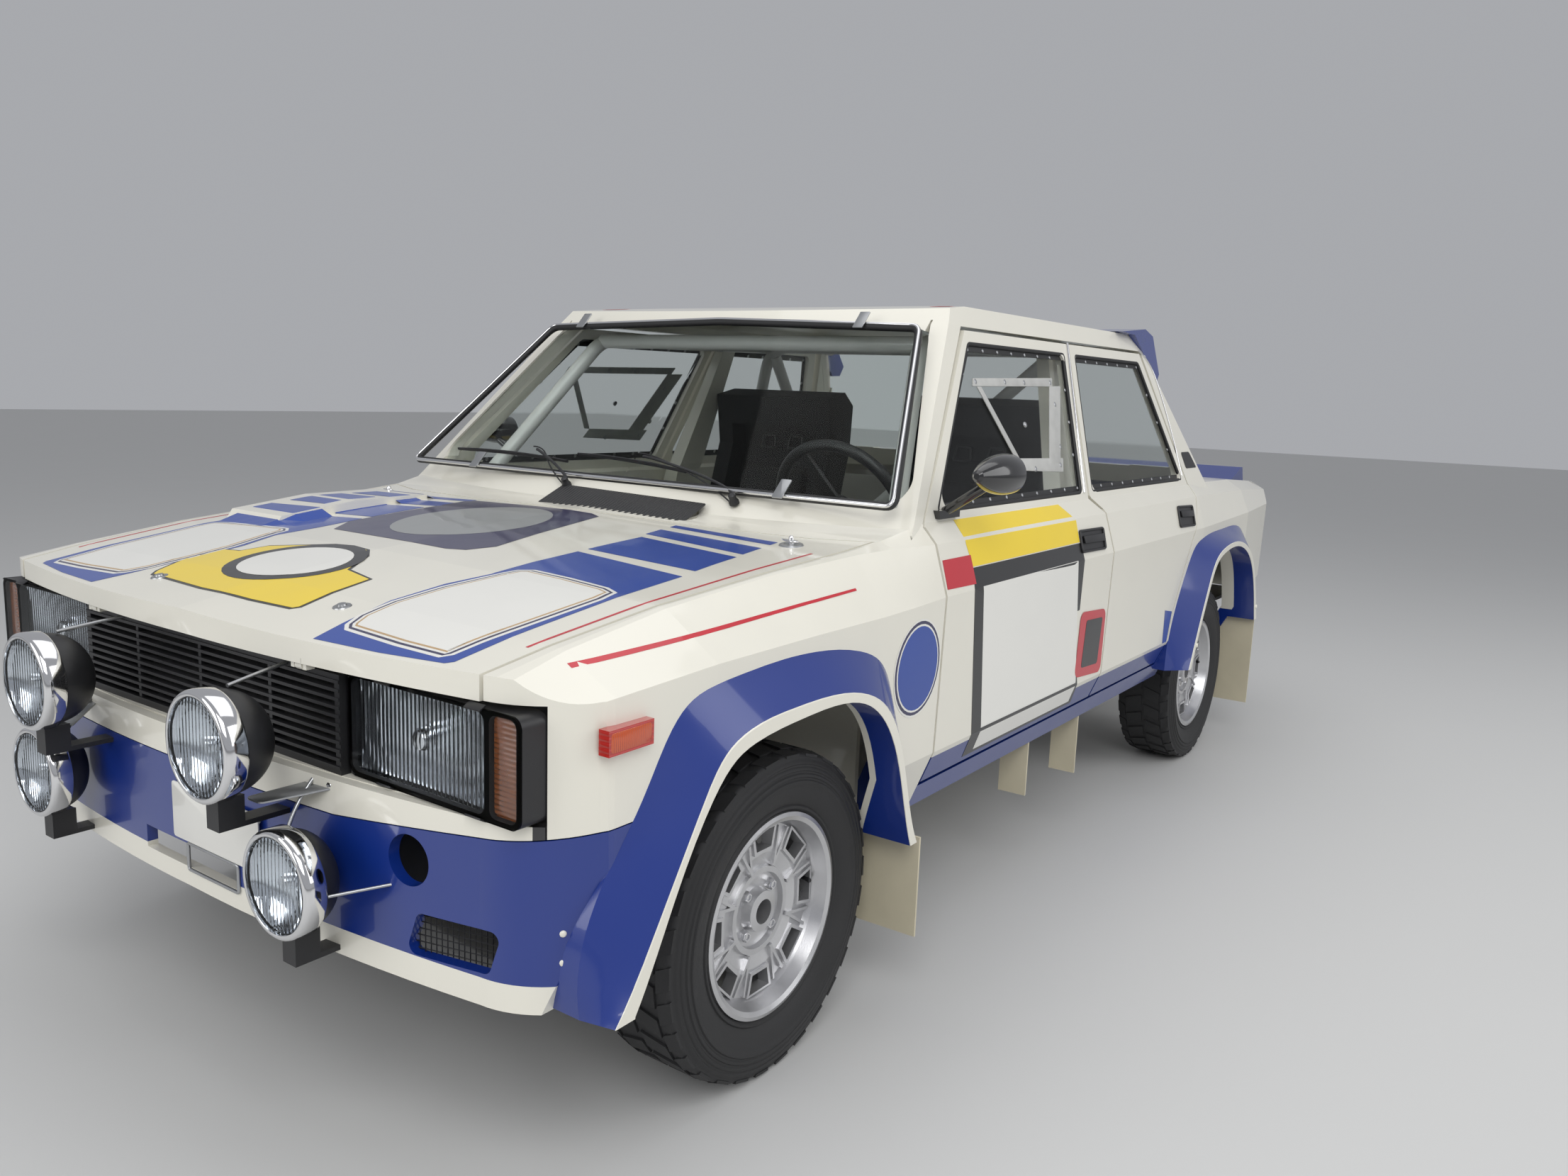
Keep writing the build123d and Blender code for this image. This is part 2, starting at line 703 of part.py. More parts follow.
def flare(table, opening):
    """One left wheel flare: it widens from its flange on the body to its lip."""
    flange = [(x, z) for x, z, lip_x, lip_z in table]
    lip = [(lip_x, lip_z) for x, z, lip_x, lip_z in table]
    root = arch_prism(flange, 700, flare_root_y)
    with BuildPart() as cone:
        for y, points in ((flare_root_y, flange), (flare_lip_y, lip)):
            with BuildSketch(Plane.XZ.offset(-y)):
                with BuildLine():
                    Spline(*points[1:-1])
                    Polyline(points[-2], points[-1], points[0], points[1])
                make_face()
        loft(ruled=True)
    return root + cone.part - body_outer - opening


front_flare = flare(front_flare_table, front_wheel_hole)
rear_flare = flare(rear_flare_table, rear_wheel_hole)

# Grille: fine bars across the nose, with an upright at each lamp
grille_low_z = 604.0
grille_top_z = 755.0
grille_front_x = 588.0
grille_back_x = 560.0
lamp_inner_y = 378.0
bar_height = 5.0
bar_pitch = 13.0
bar_count = 11
with BuildPart() as grille_builder:
    for row in range(bar_count):
        z = grille_low_z + 8 + row * bar_pitch
        with BuildSketch(Plane.XY.offset(z)):
            with Locations(((grille_front_x + grille_back_x) / 2, 0)):
                Rectangle(grille_front_x - grille_back_x - 8, 2 * lamp_inner_y)
        extrude(amount=bar_height)
    with BuildSketch(Plane.YZ.offset(grille_back_x)):
        with Locations((0, (grille_low_z + grille_top_z) / 2)):
            Rectangle(2 * lamp_inner_y, grille_top_z - grille_low_z)
            Rectangle(
                2 * lamp_inner_y - 24, grille_top_z - grille_low_z - 16, mode=Mode.SUBTRACT
            )
        for y in (-200, 0, 200):
            with Locations((y, (grille_low_z + grille_top_z) / 2)):
                Rectangle(8, grille_top_z - grille_low_z)
    extrude(amount=grille_front_x - grille_back_x - 6)

# Headlamps: a shallow rectangular reflector with the indicator at its outer end
lamp_low_z = 607.0
lamp_top_z = 760.0
lamp_depth = 70.0
lamp_wall = 6.0
lamp_back_x = grille_back_x - 34
with BuildPart() as headlamp_builder:
    with BuildSketch(Plane.YZ.offset(lamp_back_x)):
        with Locations(((lamp_inner_y + 6 + lamp_outer_y) / 2, (lamp_low_z + lamp_top_z) / 2)):
            RectangleRounded(lamp_outer_y - lamp_inner_y - 6, lamp_top_z - lamp_low_z, 16)
    extrude(amount=44)
    with BuildSketch(Plane.YZ.offset(lamp_back_x + 12)):
        with Locations(((lamp_inner_y + 6 + lamp_outer_y - 66) / 2, (lamp_low_z + lamp_top_z) / 2)):
            RectangleRounded(
                lamp_outer_y - lamp_inner_y - 6 - 66 - 2 * lamp_wall,
                lamp_top_z - lamp_low_z - 2 * lamp_wall,
                14,
            )
        with Locations((lamp_outer_y - 36, (lamp_low_z + lamp_top_z) / 2)):
            RectangleRounded(52, lamp_top_z - lamp_low_z - 2 * lamp_wall, 12)
    extrude(amount=40, mode=Mode.SUBTRACT)
headlamp_left = headlamp_builder.part
cover_x = lamp_back_x + 46
with BuildPart() as cover_builder:
    with BuildSketch(Plane.YZ.offset(lamp_back_x + 44)):
        with Locations(((lamp_inner_y + 6 + lamp_outer_y) / 2, (lamp_low_z + lamp_top_z) / 2)):
            RectangleRounded(lamp_outer_y - lamp_inner_y - 6, lamp_top_z - lamp_low_z, 16)
    extrude(amount=4)
lamp_cover_left = cover_builder.part

# Four round driving lamps stand on brackets before the grille.
# Columns: x of the lens, y, z, radius, depth of the bowl.
spot_table = (
    (upper_spot_x, 267, 659, 82, 96),
    (689, 373, 468, 80, 76),
)
spot_rim = 9.0
lens_thickness = 6.0


def spot_shell(x, y, z, radius, depth):
    """A lamp's bowl: a rim in front and a rounded back."""
    with BuildPart() as bowl:
        with BuildSketch(Plane.XY):
            with BuildLine():
                Line((0, -depth), (radius * 0.42, -depth))
                ThreePointArc(
                    (radius * 0.42, -depth), (radius * 0.82, -depth * 0.72), (radius - 5, -27)
                )
                Line((radius - 5, -27), (radius - 1, -23))
                ThreePointArc((radius - 1, -23), (radius, -8), (radius - spot_rim, 3))
                Polyline(
                    (radius - spot_rim, 3),
                    (radius - spot_rim, -22),
                    (0, -42),
                    (0, -depth),
                )
            make_face()
        revolve(axis=Axis.Y)
    return bowl.part.rotate(Axis.Z, -90).moved(Location((x, y, z)))


def spot_lens(x, y, z, radius, depth):
    """The clear glass that fills a lamp's rim."""
    with BuildPart() as lens:
        with BuildSketch(Plane.YZ.offset(-lens_thickness)):
            Circle(radius - spot_rim)
        extrude(amount=lens_thickness + lens_proud)
    return lens.part.moved(Location((x, y, z)))


def spot_bracket(x, y, z, radius, depth):
    """A flat stalk under the lamp that reaches back to the nose."""
    low = z - radius - 46
    bar = block(560, x - 18, y - 16, y + 16, low, low + 8)
    post = block(x - 58, x - 18, y - 16, y + 16, low, z - radius + 8)
    return bar + (post - rod((x - 200, y, z), (x + 20, y, z), radius - 1)) - body_outer


spots_left = [spot_shell(*row) for row in spot_table]
lenses_left = [spot_lens(*row) for row in spot_table]

# Front structure: rails, a cross panel behind the grille, wheel aprons and the lamps' crossbar
apron_y = 418.0
rail_low_z = 360.0
front_panel_x = 520.0
nose_frame = block(500, 516, 0, 690, 355, 600) - rod((480, 0, 500), (560, 0, 500), 1)
nose_frame = nose_frame - block(480, 560, 60, 380, 400, 560)
rail = block(firewall_x + firewall_fit, 500, apron_y - 60, apron_y, rail_low_z, rail_low_z + 90)
apron = side_prism(
    ((firewall_x + firewall_fit, rail_low_z + 90), (500, rail_low_z + 90), (500, 740), (firewall_x + firewall_fit, 850)),
    apron_y - 14,
    apron_y,
)
apron_shelf = side_prism(
    ((firewall_x + firewall_fit, 838), (firewall_x + firewall_fit, 850), (500, 740), (500, 728)), apron_y, 640
)
lamp_shelf = block(500, 590, 0, 700, 584, grille_low_z)
top_bar = block(500, lamp_back_x, 0, 690, 732, 757)
side_plate = block(500, 516, apron_y - 14, 690, 600, 732) - block(480, 540, 430, 700, 605, 762)
nose_half = (nose_frame + rail + apron + lamp_shelf + top_bar + side_plate) & nose_inside
# The strip of outer skin between the valance and the grille
strip_outline = (
    (0, grille_low_z - 1),
    *[(y, z + valance_joint) for y, z in valance_edge[:2]],
    (lamp_outer_y, 585.5),
    (lamp_outer_y, grille_low_z - 1),
)
nose_strip = (body_outer - nose_inside) & front_prism(strip_outline, 500, 700)
nose_half = nose_half + nose_strip
strap_low_y = bonnet_hinge_y - hinge_strap_half
strap_high_y = bonnet_hinge_y + hinge_strap_half
strap = block(505, bonnet_hinge_x, strap_low_y, strap_high_y, 757, 763)
strap = strap + block(505, 522, strap_low_y, strap_high_y, 735, 760)
strap = strap + rod(
    (bonnet_hinge_x, strap_low_y, bonnet_hinge_z),
    (bonnet_hinge_x, strap_high_y, bonnet_hinge_z),
    bonnet_eye_radius,
)
strap = strap - block(550, 588.5, 0, 400, 700, grille_top_z)
strap = strap - rod(
    (bonnet_hinge_x, strap_low_y - 1, bonnet_hinge_z),
    (bonnet_hinge_x, strap_high_y + 1, bonnet_hinge_z),
    bonnet_pin_radius + hinge_fit,
)
nose_half = nose_half + strap

# Floor, with its tunnel, and the raised boot floor over the rear axle
floor_z = 345.0
floor_thickness = 12.0
tunnel_half = 120.0
tunnel_top_z = 520.0
floor_profile = (
    (firewall_x - 12, floor_z),
    (-1960, floor_z),
    (-2080, 545),
    (-2780, 545),
    (-2860, 455),
    (tail_split_x, 455),
    (tail_split_x, 455 + floor_thickness),
    (-2865, 455 + floor_thickness),
    (-2785, 545 + floor_thickness),
    (-2073, 545 + floor_thickness),
    (-1953, floor_z + floor_thickness),
    (firewall_x - 12, floor_z + floor_thickness),
)
floor_side_y = 654.0
floor_half = side_prism(floor_profile, 0, floor_side_y)
wheel_box_y = 548.0
floor_half = floor_half - block(-2790, -2062, wheel_box_y, 700, 300, 700)
floor_half = floor_half - block(-1968, firewall_x, 0, tunnel_half - 12, 300, 400)
tunnel = front_prism(
    (
        (tunnel_half, floor_z),
        (85, tunnel_top_z),
        (0, tunnel_top_z),
        (0, tunnel_top_z - 12),
        (76, tunnel_top_z - 12),
        (tunnel_half - 13, floor_z),
    ),
    -1990,
    firewall_x - 12,
)
floor_half = floor_half + tunnel
wheel_box = block(-2790, -2062, wheel_box_y, wheel_box_y + 12, 545, 740) + block(
    -2790, -2062, wheel_box_y, 750, 740, 752
)
rear_bulkhead_x = -2200.0
seat_back_panel = block(rear_bulkhead_x - 10, rear_bulkhead_x, 0, wheel_box_y, 557, 880)
floor_half = floor_half + wheel_box + seat_back_panel - side_frame - door_holes

# Cabin fittings
dash_side_y = 570.0
dash = side_prism(
    (
        (firewall_x - 12, 780),
        (firewall_x - 12, 880),
        (-470, 900),
        (-560, 925),
        (-680, 895),
        (-700, 840),
        (-660, 790),
    ),
    -dash_side_y,
    dash_side_y,
)

seat_width = 430.0
seat_y = 345.0
seat_outline = (
    (-960, 430),
    (-960, 560),
    (-1010, 590),
    (-1330, 545),
    (-1470, 1010),
    (-1450, 1160),
    (-1540, 1180),
    (-1590, 1140),
    (-1580, 1000),
    (-1430, 480),
    (-1370, 430),
)
seat_hollow = (
    (-940, 620),
    (-950, 500),
    (-1280, 470),
    (-1390, 520),
    (-1540, 1000),
    (-1530, 1070),
    (-1400, 1070),
    (-1300, 800),
)
seat = side_prism(seat_outline, seat_y - seat_width / 2, seat_y + seat_width / 2)
seat = seat - side_prism(seat_hollow, seat_y - seat_width / 2 + 55, seat_y + seat_width / 2 - 55)
seat_rails = block(-1370, -1010, seat_y - 190, seat_y - 160, 357, 430) + block(
    -1370, -1010, seat_y + 160, seat_y + 190, 357, 430
)
seat = seat + seat_rails


def tube_path(points, radii, radius):
    """A bent tube: straight runs joined by arcs."""
    with BuildPart() as tube:
        with BuildLine() as route:
            FilletPolyline(*points, radius=radii)
        with BuildSketch(Plane(origin=route.line @ 0, z_dir=route.line % 0)):
            Circle(radius)
        sweep()
    return tube.part


cage_tube = 19.0
hoop_x = -1650.0
main_hoop = tube_path(
    (
        (hoop_x, -560, 357),
        (hoop_x, -610, 800),
        (hoop_x, -500, 1318),
        (hoop_x, 500, 1318),
        (hoop_x, 610, 800),
        (hoop_x, 560, 357),
    ),
    (60, 90, 90, 60),
    cage_tube,
)
front_hoop_left = tube_path(
    ((-520, 600, 357), (-525, 645, 880), (-860, 500, 1300), (hoop_x, 500, 1316)), (60, 90), cage_tube
)
cage = main_hoop + both_sides(front_hoop_left)
cage = cage + rod((-862, -500, 1296), (-862, 500, 1296), cage_tube)
cage = cage + rod((hoop_x, 480, 1290), (-2120, 470, 560), cage_tube)
cage = cage + rod((hoop_x, -480, 1290), (-2120, -470, 560), cage_tube)
cage = cage + rod((hoop_x, 470, 1290), (hoop_x, -560, 400), cage_tube)

# Engine and running gear
cage = cage - both_sides(floor_half)

engine = block(-300, 230, -210, 190, 380, 740)
steer_wheel_centre = (-800.0, seat_y, 905.0)
steer_rake = 24.0
with BuildPart() as steering_builder:
    with BuildSketch(Plane.XZ):
        with Locations((170, 0)):
            Circle(14)
    revolve(axis=Axis.Z)
    with BuildSketch(Plane.XY.offset(-6)):
        Circle(40)
        for angle in (90, 210, 330):
            with Locations(Location((0, 0, 0), (0, 0, 1), angle) * Location((90, 0, 0))):
                Rectangle(160, 34)
    extrude(amount=10)
    with BuildSketch(Plane.XY.offset(-6)):
        Circle(20)
    extrude(amount=-150)
steering_wheel = steering_builder.part.rotate(Axis.Y, -(90 - steer_rake)).moved(
    Location(steer_wheel_centre)
)

wheel_axis = Vector(math.cos(math.radians(steer_rake)), 0, -math.sin(math.radians(steer_rake)))
column_start = Vector(*steer_wheel_centre)
column_hole = rod(
    tuple(column_start), tuple(column_start + wheel_axis * 260), 20.3
)
dash = dash - column_hole

arm_eye_radius = 30.0
pin_radius = 18.0
pin_fit = 0.3
lower_arm_z = 222.0
upper_arm_z = 384.0
arm_height = 22.0
cross_member = block(-70, 70, 0, apron_y - 60, 300, 380)


def control_arm(inner_y, z):
    """A left suspension arm: two legs that meet at the eye round the steering pin."""
    crotch_y = (inner_y + steer_pivot_y) / 2 + 40
    plan = (
        (-95, inner_y),
        (-55, inner_y),
        (0, crotch_y),
        (55, inner_y),
        (95, inner_y),
        (22, steer_pivot_y),
        (-22, steer_pivot_y),
    )
    plate = plan_prism(plan, z, z + arm_height)
    eye = rod((0, steer_pivot_y, z), (0, steer_pivot_y, z + arm_height), arm_eye_radius)
    hole = rod((0, steer_pivot_y, z - 5), (0, steer_pivot_y, z + arm_height + 5), pin_radius + pin_fit)
    return plate + eye - hole


pivot_plates = block(-100, -50, 330, 352, lower_arm_z, 320) + block(50, 100, 330, 352, lower_arm_z, 320)
pivot_plates = pivot_plates + block(-100, 100, 300, 352, 300, 330)
suspension_half = cross_member + control_arm(352, lower_arm_z) + pivot_plates
upper_arm = control_arm(apron_y, upper_arm_z)

bore_radius = 22.0
stub_radius = bore_radius - pin_fit
stub_end_y = wheel_centre_y + 20
knuckle = rod((0, steer_pivot_y, lower_arm_z), (0, steer_pivot_y, upper_arm_z + arm_height), pin_radius)
knuckle = knuckle + rod(
    (0, steer_pivot_y, lower_arm_z + arm_height + 3), (0, steer_pivot_y, upper_arm_z - 3), arm_eye_radius - 2
)
knuckle = knuckle + rod((0, steer_pivot_y, tyre_radius), (0, stub_end_y, tyre_radius), stub_radius)
disc_y = 640.0
disc_thickness = 10.0
disc_radius = 116.0
caliper = block(-138, -62, disc_y - 26, disc_y + disc_thickness + 22, tyre_radius - 45, tyre_radius + 45)
caliper = caliper - rod((0, disc_y - 5, tyre_radius), (0, disc_y + disc_thickness + 5, tyre_radius), disc_radius + 5)
caliper_arm = block(-120, 0, disc_y - 26, disc_y - 12, tyre_radius - 20, tyre_radius + 20)
knuckle = knuckle + caliper + caliper_arm

rear_x = -wheelbase
axle_tube = rod((rear_x, 0, tyre_radius), (rear_x, 632, tyre_radius), 34)
axle_stub = rod((rear_x, 600, tyre_radius), (rear_x, stub_end_y, tyre_radius), stub_radius)
drum_plate = rod((rear_x, 600, tyre_radius), (rear_x, 616, tyre_radius), 108)
spring_y = 470.0
spring = rod((rear_x, spring_y, tyre_radius + 20), (rear_x, spring_y, 545), 48)
link = rod((rear_x, 420, 270), (-1930, 420, 320), 15) + block(-1955, -1905, 405, 435, 300, floor_z)
axle_half = axle_tube + axle_stub + drum_plate + spring + link

with BuildPart() as casing:
    with BuildSketch(Plane.YZ.offset(rear_x)):
        with Locations((0, tyre_radius)):
            Circle(105)
    extrude(amount=70, both=True)
    chamfer(casing.edges(), 22)
axle = both_sides(axle_half) + casing.part

# Exhaust
exhaust_pipe = tube_path(
    (
        (-420, -250, 318),
        (-2000, -250, 318),
        (-2210, -290, 455),
        (-2680, -290, 455),
        (-2900, -400, 384),
        (-3380, -400, 384),
    ),
    (150, 120, 120, 150),
    24,
)
silencer = rod((-2960, -400, 384), (-3240, -400, 384), 71)
exhaust = exhaust_pipe + silencer

# Wheels
with BuildPart() as tyre_builder:
    with BuildSketch(Plane.XY):
        with BuildLine():
            half = tyre_width / 2
            Line((167, -58), (184, -72))
            ThreePointArc((184, -72), (236, -half), (276, -84))
            Polyline((276, -84), (tyre_radius - 4, -74), (tyre_radius, -64))
            Line((tyre_radius, -64), (tyre_radius, 64))
            Polyline((tyre_radius, 64), (tyre_radius - 4, 74), (276, 84))
            ThreePointArc((276, 84), (236, half), (184, 72))
            Polyline((184, 72), (167, 58), (172, 48))
            ThreePointArc((172, 48), (232, 76), (268, 66))
            Line((268, 66), (268, -66))
            ThreePointArc((268, -66), (232, -76), (172, -48))
            Line((172, -48), (167, -58))
        make_face()
    revolve(axis=Axis.Y)
tyre = tyre_builder.part

window_count = 8
rim_half = rim_width / 2
window_outline = ((113, -21), (147, -29), (147, 29), (113, 21))
frame_outline = ((107, -26), (151, -36), (151, 36), (107, 26))
rib_outline = ((80, -2), (150, -17), (150, -12), (80, 4))
face_y = 46.0
hub_radius = 36.0
with BuildPart() as rim_builder:
    with BuildSketch(Plane.XY):
        with BuildLine():
            Polyline(
                (rim_radius, rim_half),
                (rim_radius - 7, rim_half + 2),
                (166, rim_half - 2),
                (158, 52),
                (153, face_y - 6),
                (104, face_y - 2),
                (80, face_y - 8),
                (78, face_y - 2),
                (68, face_y - 2),
                (66, face_y - 12),
                (40, face_y - 14),
                (hub_radius, face_y + 4),
                (bore_radius, face_y + 6),
                (bore_radius, disc_y - wheel_centre_y),
                (disc_radius, disc_y - wheel_centre_y),
                (disc_radius, disc_y - wheel_centre_y + disc_thickness),
                (62, disc_y - wheel_centre_y + disc_thickness),
                (56, 12),
                (80, 16),
                (120, 26),
                (150, 24),
                (157, 18),
                (157, -50),
                (172, -66),
                (rim_radius - 8, -rim_half),
                (rim_radius, -rim_half),
                (rim_radius, -rim_half + 6),
                (166.6, -60),
                (166.6, 60),
                (rim_radius, rim_half - 6),
                close=True,
            )
        make_face()
    revolve(axis=Axis.Y)
    # Each window has a raised frame, and a pair of ribs runs between one and the next.
    with BuildSketch(Plane.XZ.offset(-face_y - 2)):
        with PolarLocations(0, window_count):
            Polygon(*frame_outline, align=None)
        with PolarLocations(0, window_count, start_angle=180 / window_count):
            Polygon(*rib_outline, align=None)
            Polygon(*[(x, -z) for x, z in rib_outline], align=None)
    extrude(amount=16)
    with BuildSketch(Plane.XZ.offset(-80)):
        with PolarLocations(0, window_count):
            Polygon(*window_outline, align=None)
    extrude(amount=70, mode=Mode.SUBTRACT)
rim = rim_builder.part


# Small outside pieces
mirror_centre = (-550.0, 850.0, 1035.0)
mirror_radius = 40.0
with BuildPart() as mirror_builder:
    with BuildSketch(Plane.XY):
        with BuildLine():
            Line((-66, 0), (-66, mirror_radius))
            ThreePointArc((-66, mirror_radius), (10, 34), (68, 12))
            Polyline((68, 12), (74, 6), (74, 0), (-66, 0))
        make_face()
    revolve(axis=Axis.X)
mirror_shell = mirror_builder.part.moved(Location(mirror_centre))
mirror_stalk = rod((-572, 728, 946), (-556, 838, 1015), 10) - front_door
mirror_foot = block(-615, -528, 728, 750, 940, 957) - front_door
door_mirror = mirror_shell + mirror_stalk + mirror_foot
# The right mirror stands further back along its door.
right_mirror_shift = -215.0
flap_thickness = 5.0
front_flap = block(-347, -342, 690, 845, 150, 352) - wing
rear_flap = block(-2797, -2792, 640, 845, 130, 440)
rear_flap = rear_flap - body_outer
mid_flaps = [block(x, x + flap_thickness, 672, 744, low, 352) for x, low in ((-1080, 215), (-1404, 192))]

marker = block(391, 479, 794, 813, 700, 736) - body_outer
tail_lamp = block(tail_x - tail_lamp_proud, tail_x + 40, 455, 690, 600, 742) - body_outer
spoiler_blade = (
    (-1880, roof_top_z - 22),
    (-2076, roof_top_z - 4),
    (-2150, roof_top_z - 22),
    (-2165, roof_top_z - 40),
    (-2085, roof_top_z - 22),
    (-1960, roof_top_z - 26),
)
spoiler_leg = (
    (-1985, roof_top_z - 25),
    (-1880, roof_top_z - 22),
    (-2076, roof_top_z - 4),
    (-2150, roof_top_z - 22),
    (-2240, 1275),
    (-2215, 1240),
    (-2125, 1236),
    (-2074, 1334),
)
spoiler_side_y = 606.0
roof_spoiler = side_prism(spoiler_blade, -spoiler_side_y, spoiler_side_y) + both_sides(
    side_prism(spoiler_leg, spoiler_side_y - 20, spoiler_side_y)
)
roof_spoiler = roof_spoiler - cabin_outer - cabin_outer.mirror(Plane.XZ)

scoop_outline = ((182, 848), (158, 882), (-20, 905), (-215, 908), (-215, 880), (182, 840))
scoop = side_prism(scoop_outline, -628, -440) - body_outer.mirror(Plane.XZ)

# A tow eye hangs from the boot floor, on the left of the tail.
tow_hole_radius = 20.0
tow_eye_x = -3330.0
tow_eye_y = 300.0
tow_eye_z = 415.0
tow_eye_thickness = 16.0
tow_eye_low_y = tow_eye_y - tow_eye_thickness / 2
tow_eye_high_y = tow_eye_y + tow_eye_thickness / 2
tow_eye = block(tow_eye_x - 28, tow_eye_x + 60, tow_eye_low_y, tow_eye_high_y, tow_eye_z, 455)
tow_eye = tow_eye + rod(
    (tow_eye_x, tow_eye_low_y, tow_eye_z), (tow_eye_x, tow_eye_high_y, tow_eye_z), 28
)
tow_eye = tow_eye - rod(
    (tow_eye_x, tow_eye_low_y - 1, tow_eye_z),
    (tow_eye_x, tow_eye_high_y + 1, tow_eye_z),
    tow_hole_radius,
)
tow_eye = tow_eye - both_sides(tail_half)

brackets_left = [spot_bracket(*row) for row in spot_table]


def fuse(pieces):
    """Join a list of solids."""
    joined = pieces[0]
    for piece in pieces[1:]:
        joined = joined + piece
    return joined


nodes = {
    "floor_pan": both_sides(floor_half),
    "side_frames": both_sides(side_frame),
    "roof_panel": both_sides(roof_half),
    "windscreen": both_sides(windscreen_half),
    "rear_window": both_sides(rear_screen_half),
    "cowl_firewall": both_sides(cowl_half + firewall_half) - intake,
    "rear_panel": both_sides(deck_half + tail_half) + tow_eye,
    "front_wings": both_sides(wing),
    "nose_frame": both_sides(nose_half),
    "front_valance": both_sides(valance_half),
    "wheel_flares": both_sides(front_flare + rear_flare),
    "grille": grille_builder.part,
    "headlamps": both_sides(headlamp_left),
    "lamp_glass": both_sides(fuse(lenses_left) + lamp_cover_left),
    "spot_lamps": both_sides(fuse(spots_left) + fuse(brackets_left)),
    "signal_lamps": both_sides(marker + tail_lamp),
    "dashboard": dash,
    "roll_cage": cage,
    "bucket_seats": both_sides(seat),
    "engine_block": engine,
    "front_suspension": both_sides(suspension_half + upper_arm),
    "rear_axle": axle,
    "exhaust": exhaust,
    "mud_flaps": both_sides(front_flap + rear_flap + fuse(mid_flaps)),
    "roof_spoiler": roof_spoiler,
    "bonnet": both_sides(bonnet_half) + scoop,
    "boot_lid": both_sides(lid_half),
    "steering_wheel": steering_wheel,
}
for side, turn in (("left", False), ("right", True)):
    handed = {
        "front_door_" + side: front_door,
        "rear_door_" + side: rear_door,
        "front_glass_" + side: front_glass,
        "rear_glass_" + side: rear_glass,
        "mirror_" + side: door_mirror.moved(Location((right_mirror_shift if turn else 0, 0, 0))),
        "knuckle_" + side: knuckle,
    }
    for end, x in (("front", 0), ("rear", -wheelbase)):
        place = Location((x, wheel_centre_y, tyre_radius))
        handed["tyre_" + end + "_" + side] = tyre.moved(place)
        handed["rim_" + end + "_" + side] = rim.moved(place)
    for name, piece in handed.items():
        nodes[name] = piece.mirror(Plane.XZ) if turn else piece

for name, piece in nodes.items():
    write(piece, name)
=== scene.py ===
import math

import bpy
from mathutils import Matrix, Vector


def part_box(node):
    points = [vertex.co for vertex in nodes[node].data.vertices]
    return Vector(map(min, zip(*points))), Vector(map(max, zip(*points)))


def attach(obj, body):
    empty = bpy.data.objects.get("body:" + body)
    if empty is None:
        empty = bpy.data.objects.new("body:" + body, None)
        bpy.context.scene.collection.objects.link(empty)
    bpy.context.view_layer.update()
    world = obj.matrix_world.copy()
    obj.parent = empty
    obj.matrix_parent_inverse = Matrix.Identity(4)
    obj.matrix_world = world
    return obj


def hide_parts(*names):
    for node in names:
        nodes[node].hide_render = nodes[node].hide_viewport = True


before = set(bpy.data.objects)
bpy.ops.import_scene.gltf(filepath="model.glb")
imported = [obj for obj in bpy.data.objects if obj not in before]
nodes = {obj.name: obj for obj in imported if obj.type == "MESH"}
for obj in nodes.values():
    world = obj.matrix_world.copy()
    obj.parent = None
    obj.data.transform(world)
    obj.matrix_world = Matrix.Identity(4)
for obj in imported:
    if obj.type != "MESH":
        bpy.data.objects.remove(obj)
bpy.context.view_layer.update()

# The room and the viewpoint
# A plain pale floor under soft studio lamps. The camera stands ahead of the left front wheel, at
# a standing person's chest height, and looks back along the car's left side.
FRONT_AXLE_X = 1331.5  # mm ahead of the frame's origin
SIDES = (("left", 1), ("right", -1))
SENSOR = 36.0
FOCAL_PIXELS = 1664
PHOTO_WIDTH = 2212


def at(x, y, z):
    """A point given in millimetres from the front axle's middle, on the ground."""
    return Vector(((x + FRONT_AXLE_X) / 1000, y / 1000, z / 1000))


def deselect():
    """Leaves nothing selected, since each operator acts on all that is."""
    for piece in list(bpy.context.selected_objects):
        piece.select_set(False)


def new_material(name):
    """An empty node material with its shader and the piece's own coordinates."""
    material = bpy.data.materials.new(name)
    material.use_nodes = True
    tree = material.node_tree
    return material, tree, tree.nodes["Principled BSDF"], tree.nodes.new("ShaderNodeTexCoord")


deselect()
bpy.ops.mesh.primitive_plane_add(size=60, location=(0, 0, 0))
floor = bpy.context.object
floor.name = "studio_floor"
floor_material, tree, shader, place = new_material("studio_floor_paint")
shader.inputs["Base Color"].default_value = (0.62, 0.62, 0.61, 1)
grain = tree.nodes.new("ShaderNodeTexNoise")
grain.inputs["Scale"].default_value = 3.0
tint = tree.nodes.new("ShaderNodeMapRange")
tint.inputs["To Min"].default_value = 0.55
tint.inputs["To Max"].default_value = 0.65
tree.links.new(place.outputs["Object"], grain.inputs["Vector"])
tree.links.new(grain.outputs["Fac"], tint.inputs["Value"])
tree.links.new(tint.outputs["Result"], shader.inputs["Roughness"])
floor.data.materials.append(floor_material)

world = bpy.data.worlds.new("studio_room")
bpy.context.scene.world = world
world.use_nodes = True
background = world.node_tree.nodes["Background"]
background.inputs["Color"].default_value = (0.93, 0.95, 1.0, 1)
background.inputs["Strength"].default_value = 0.42

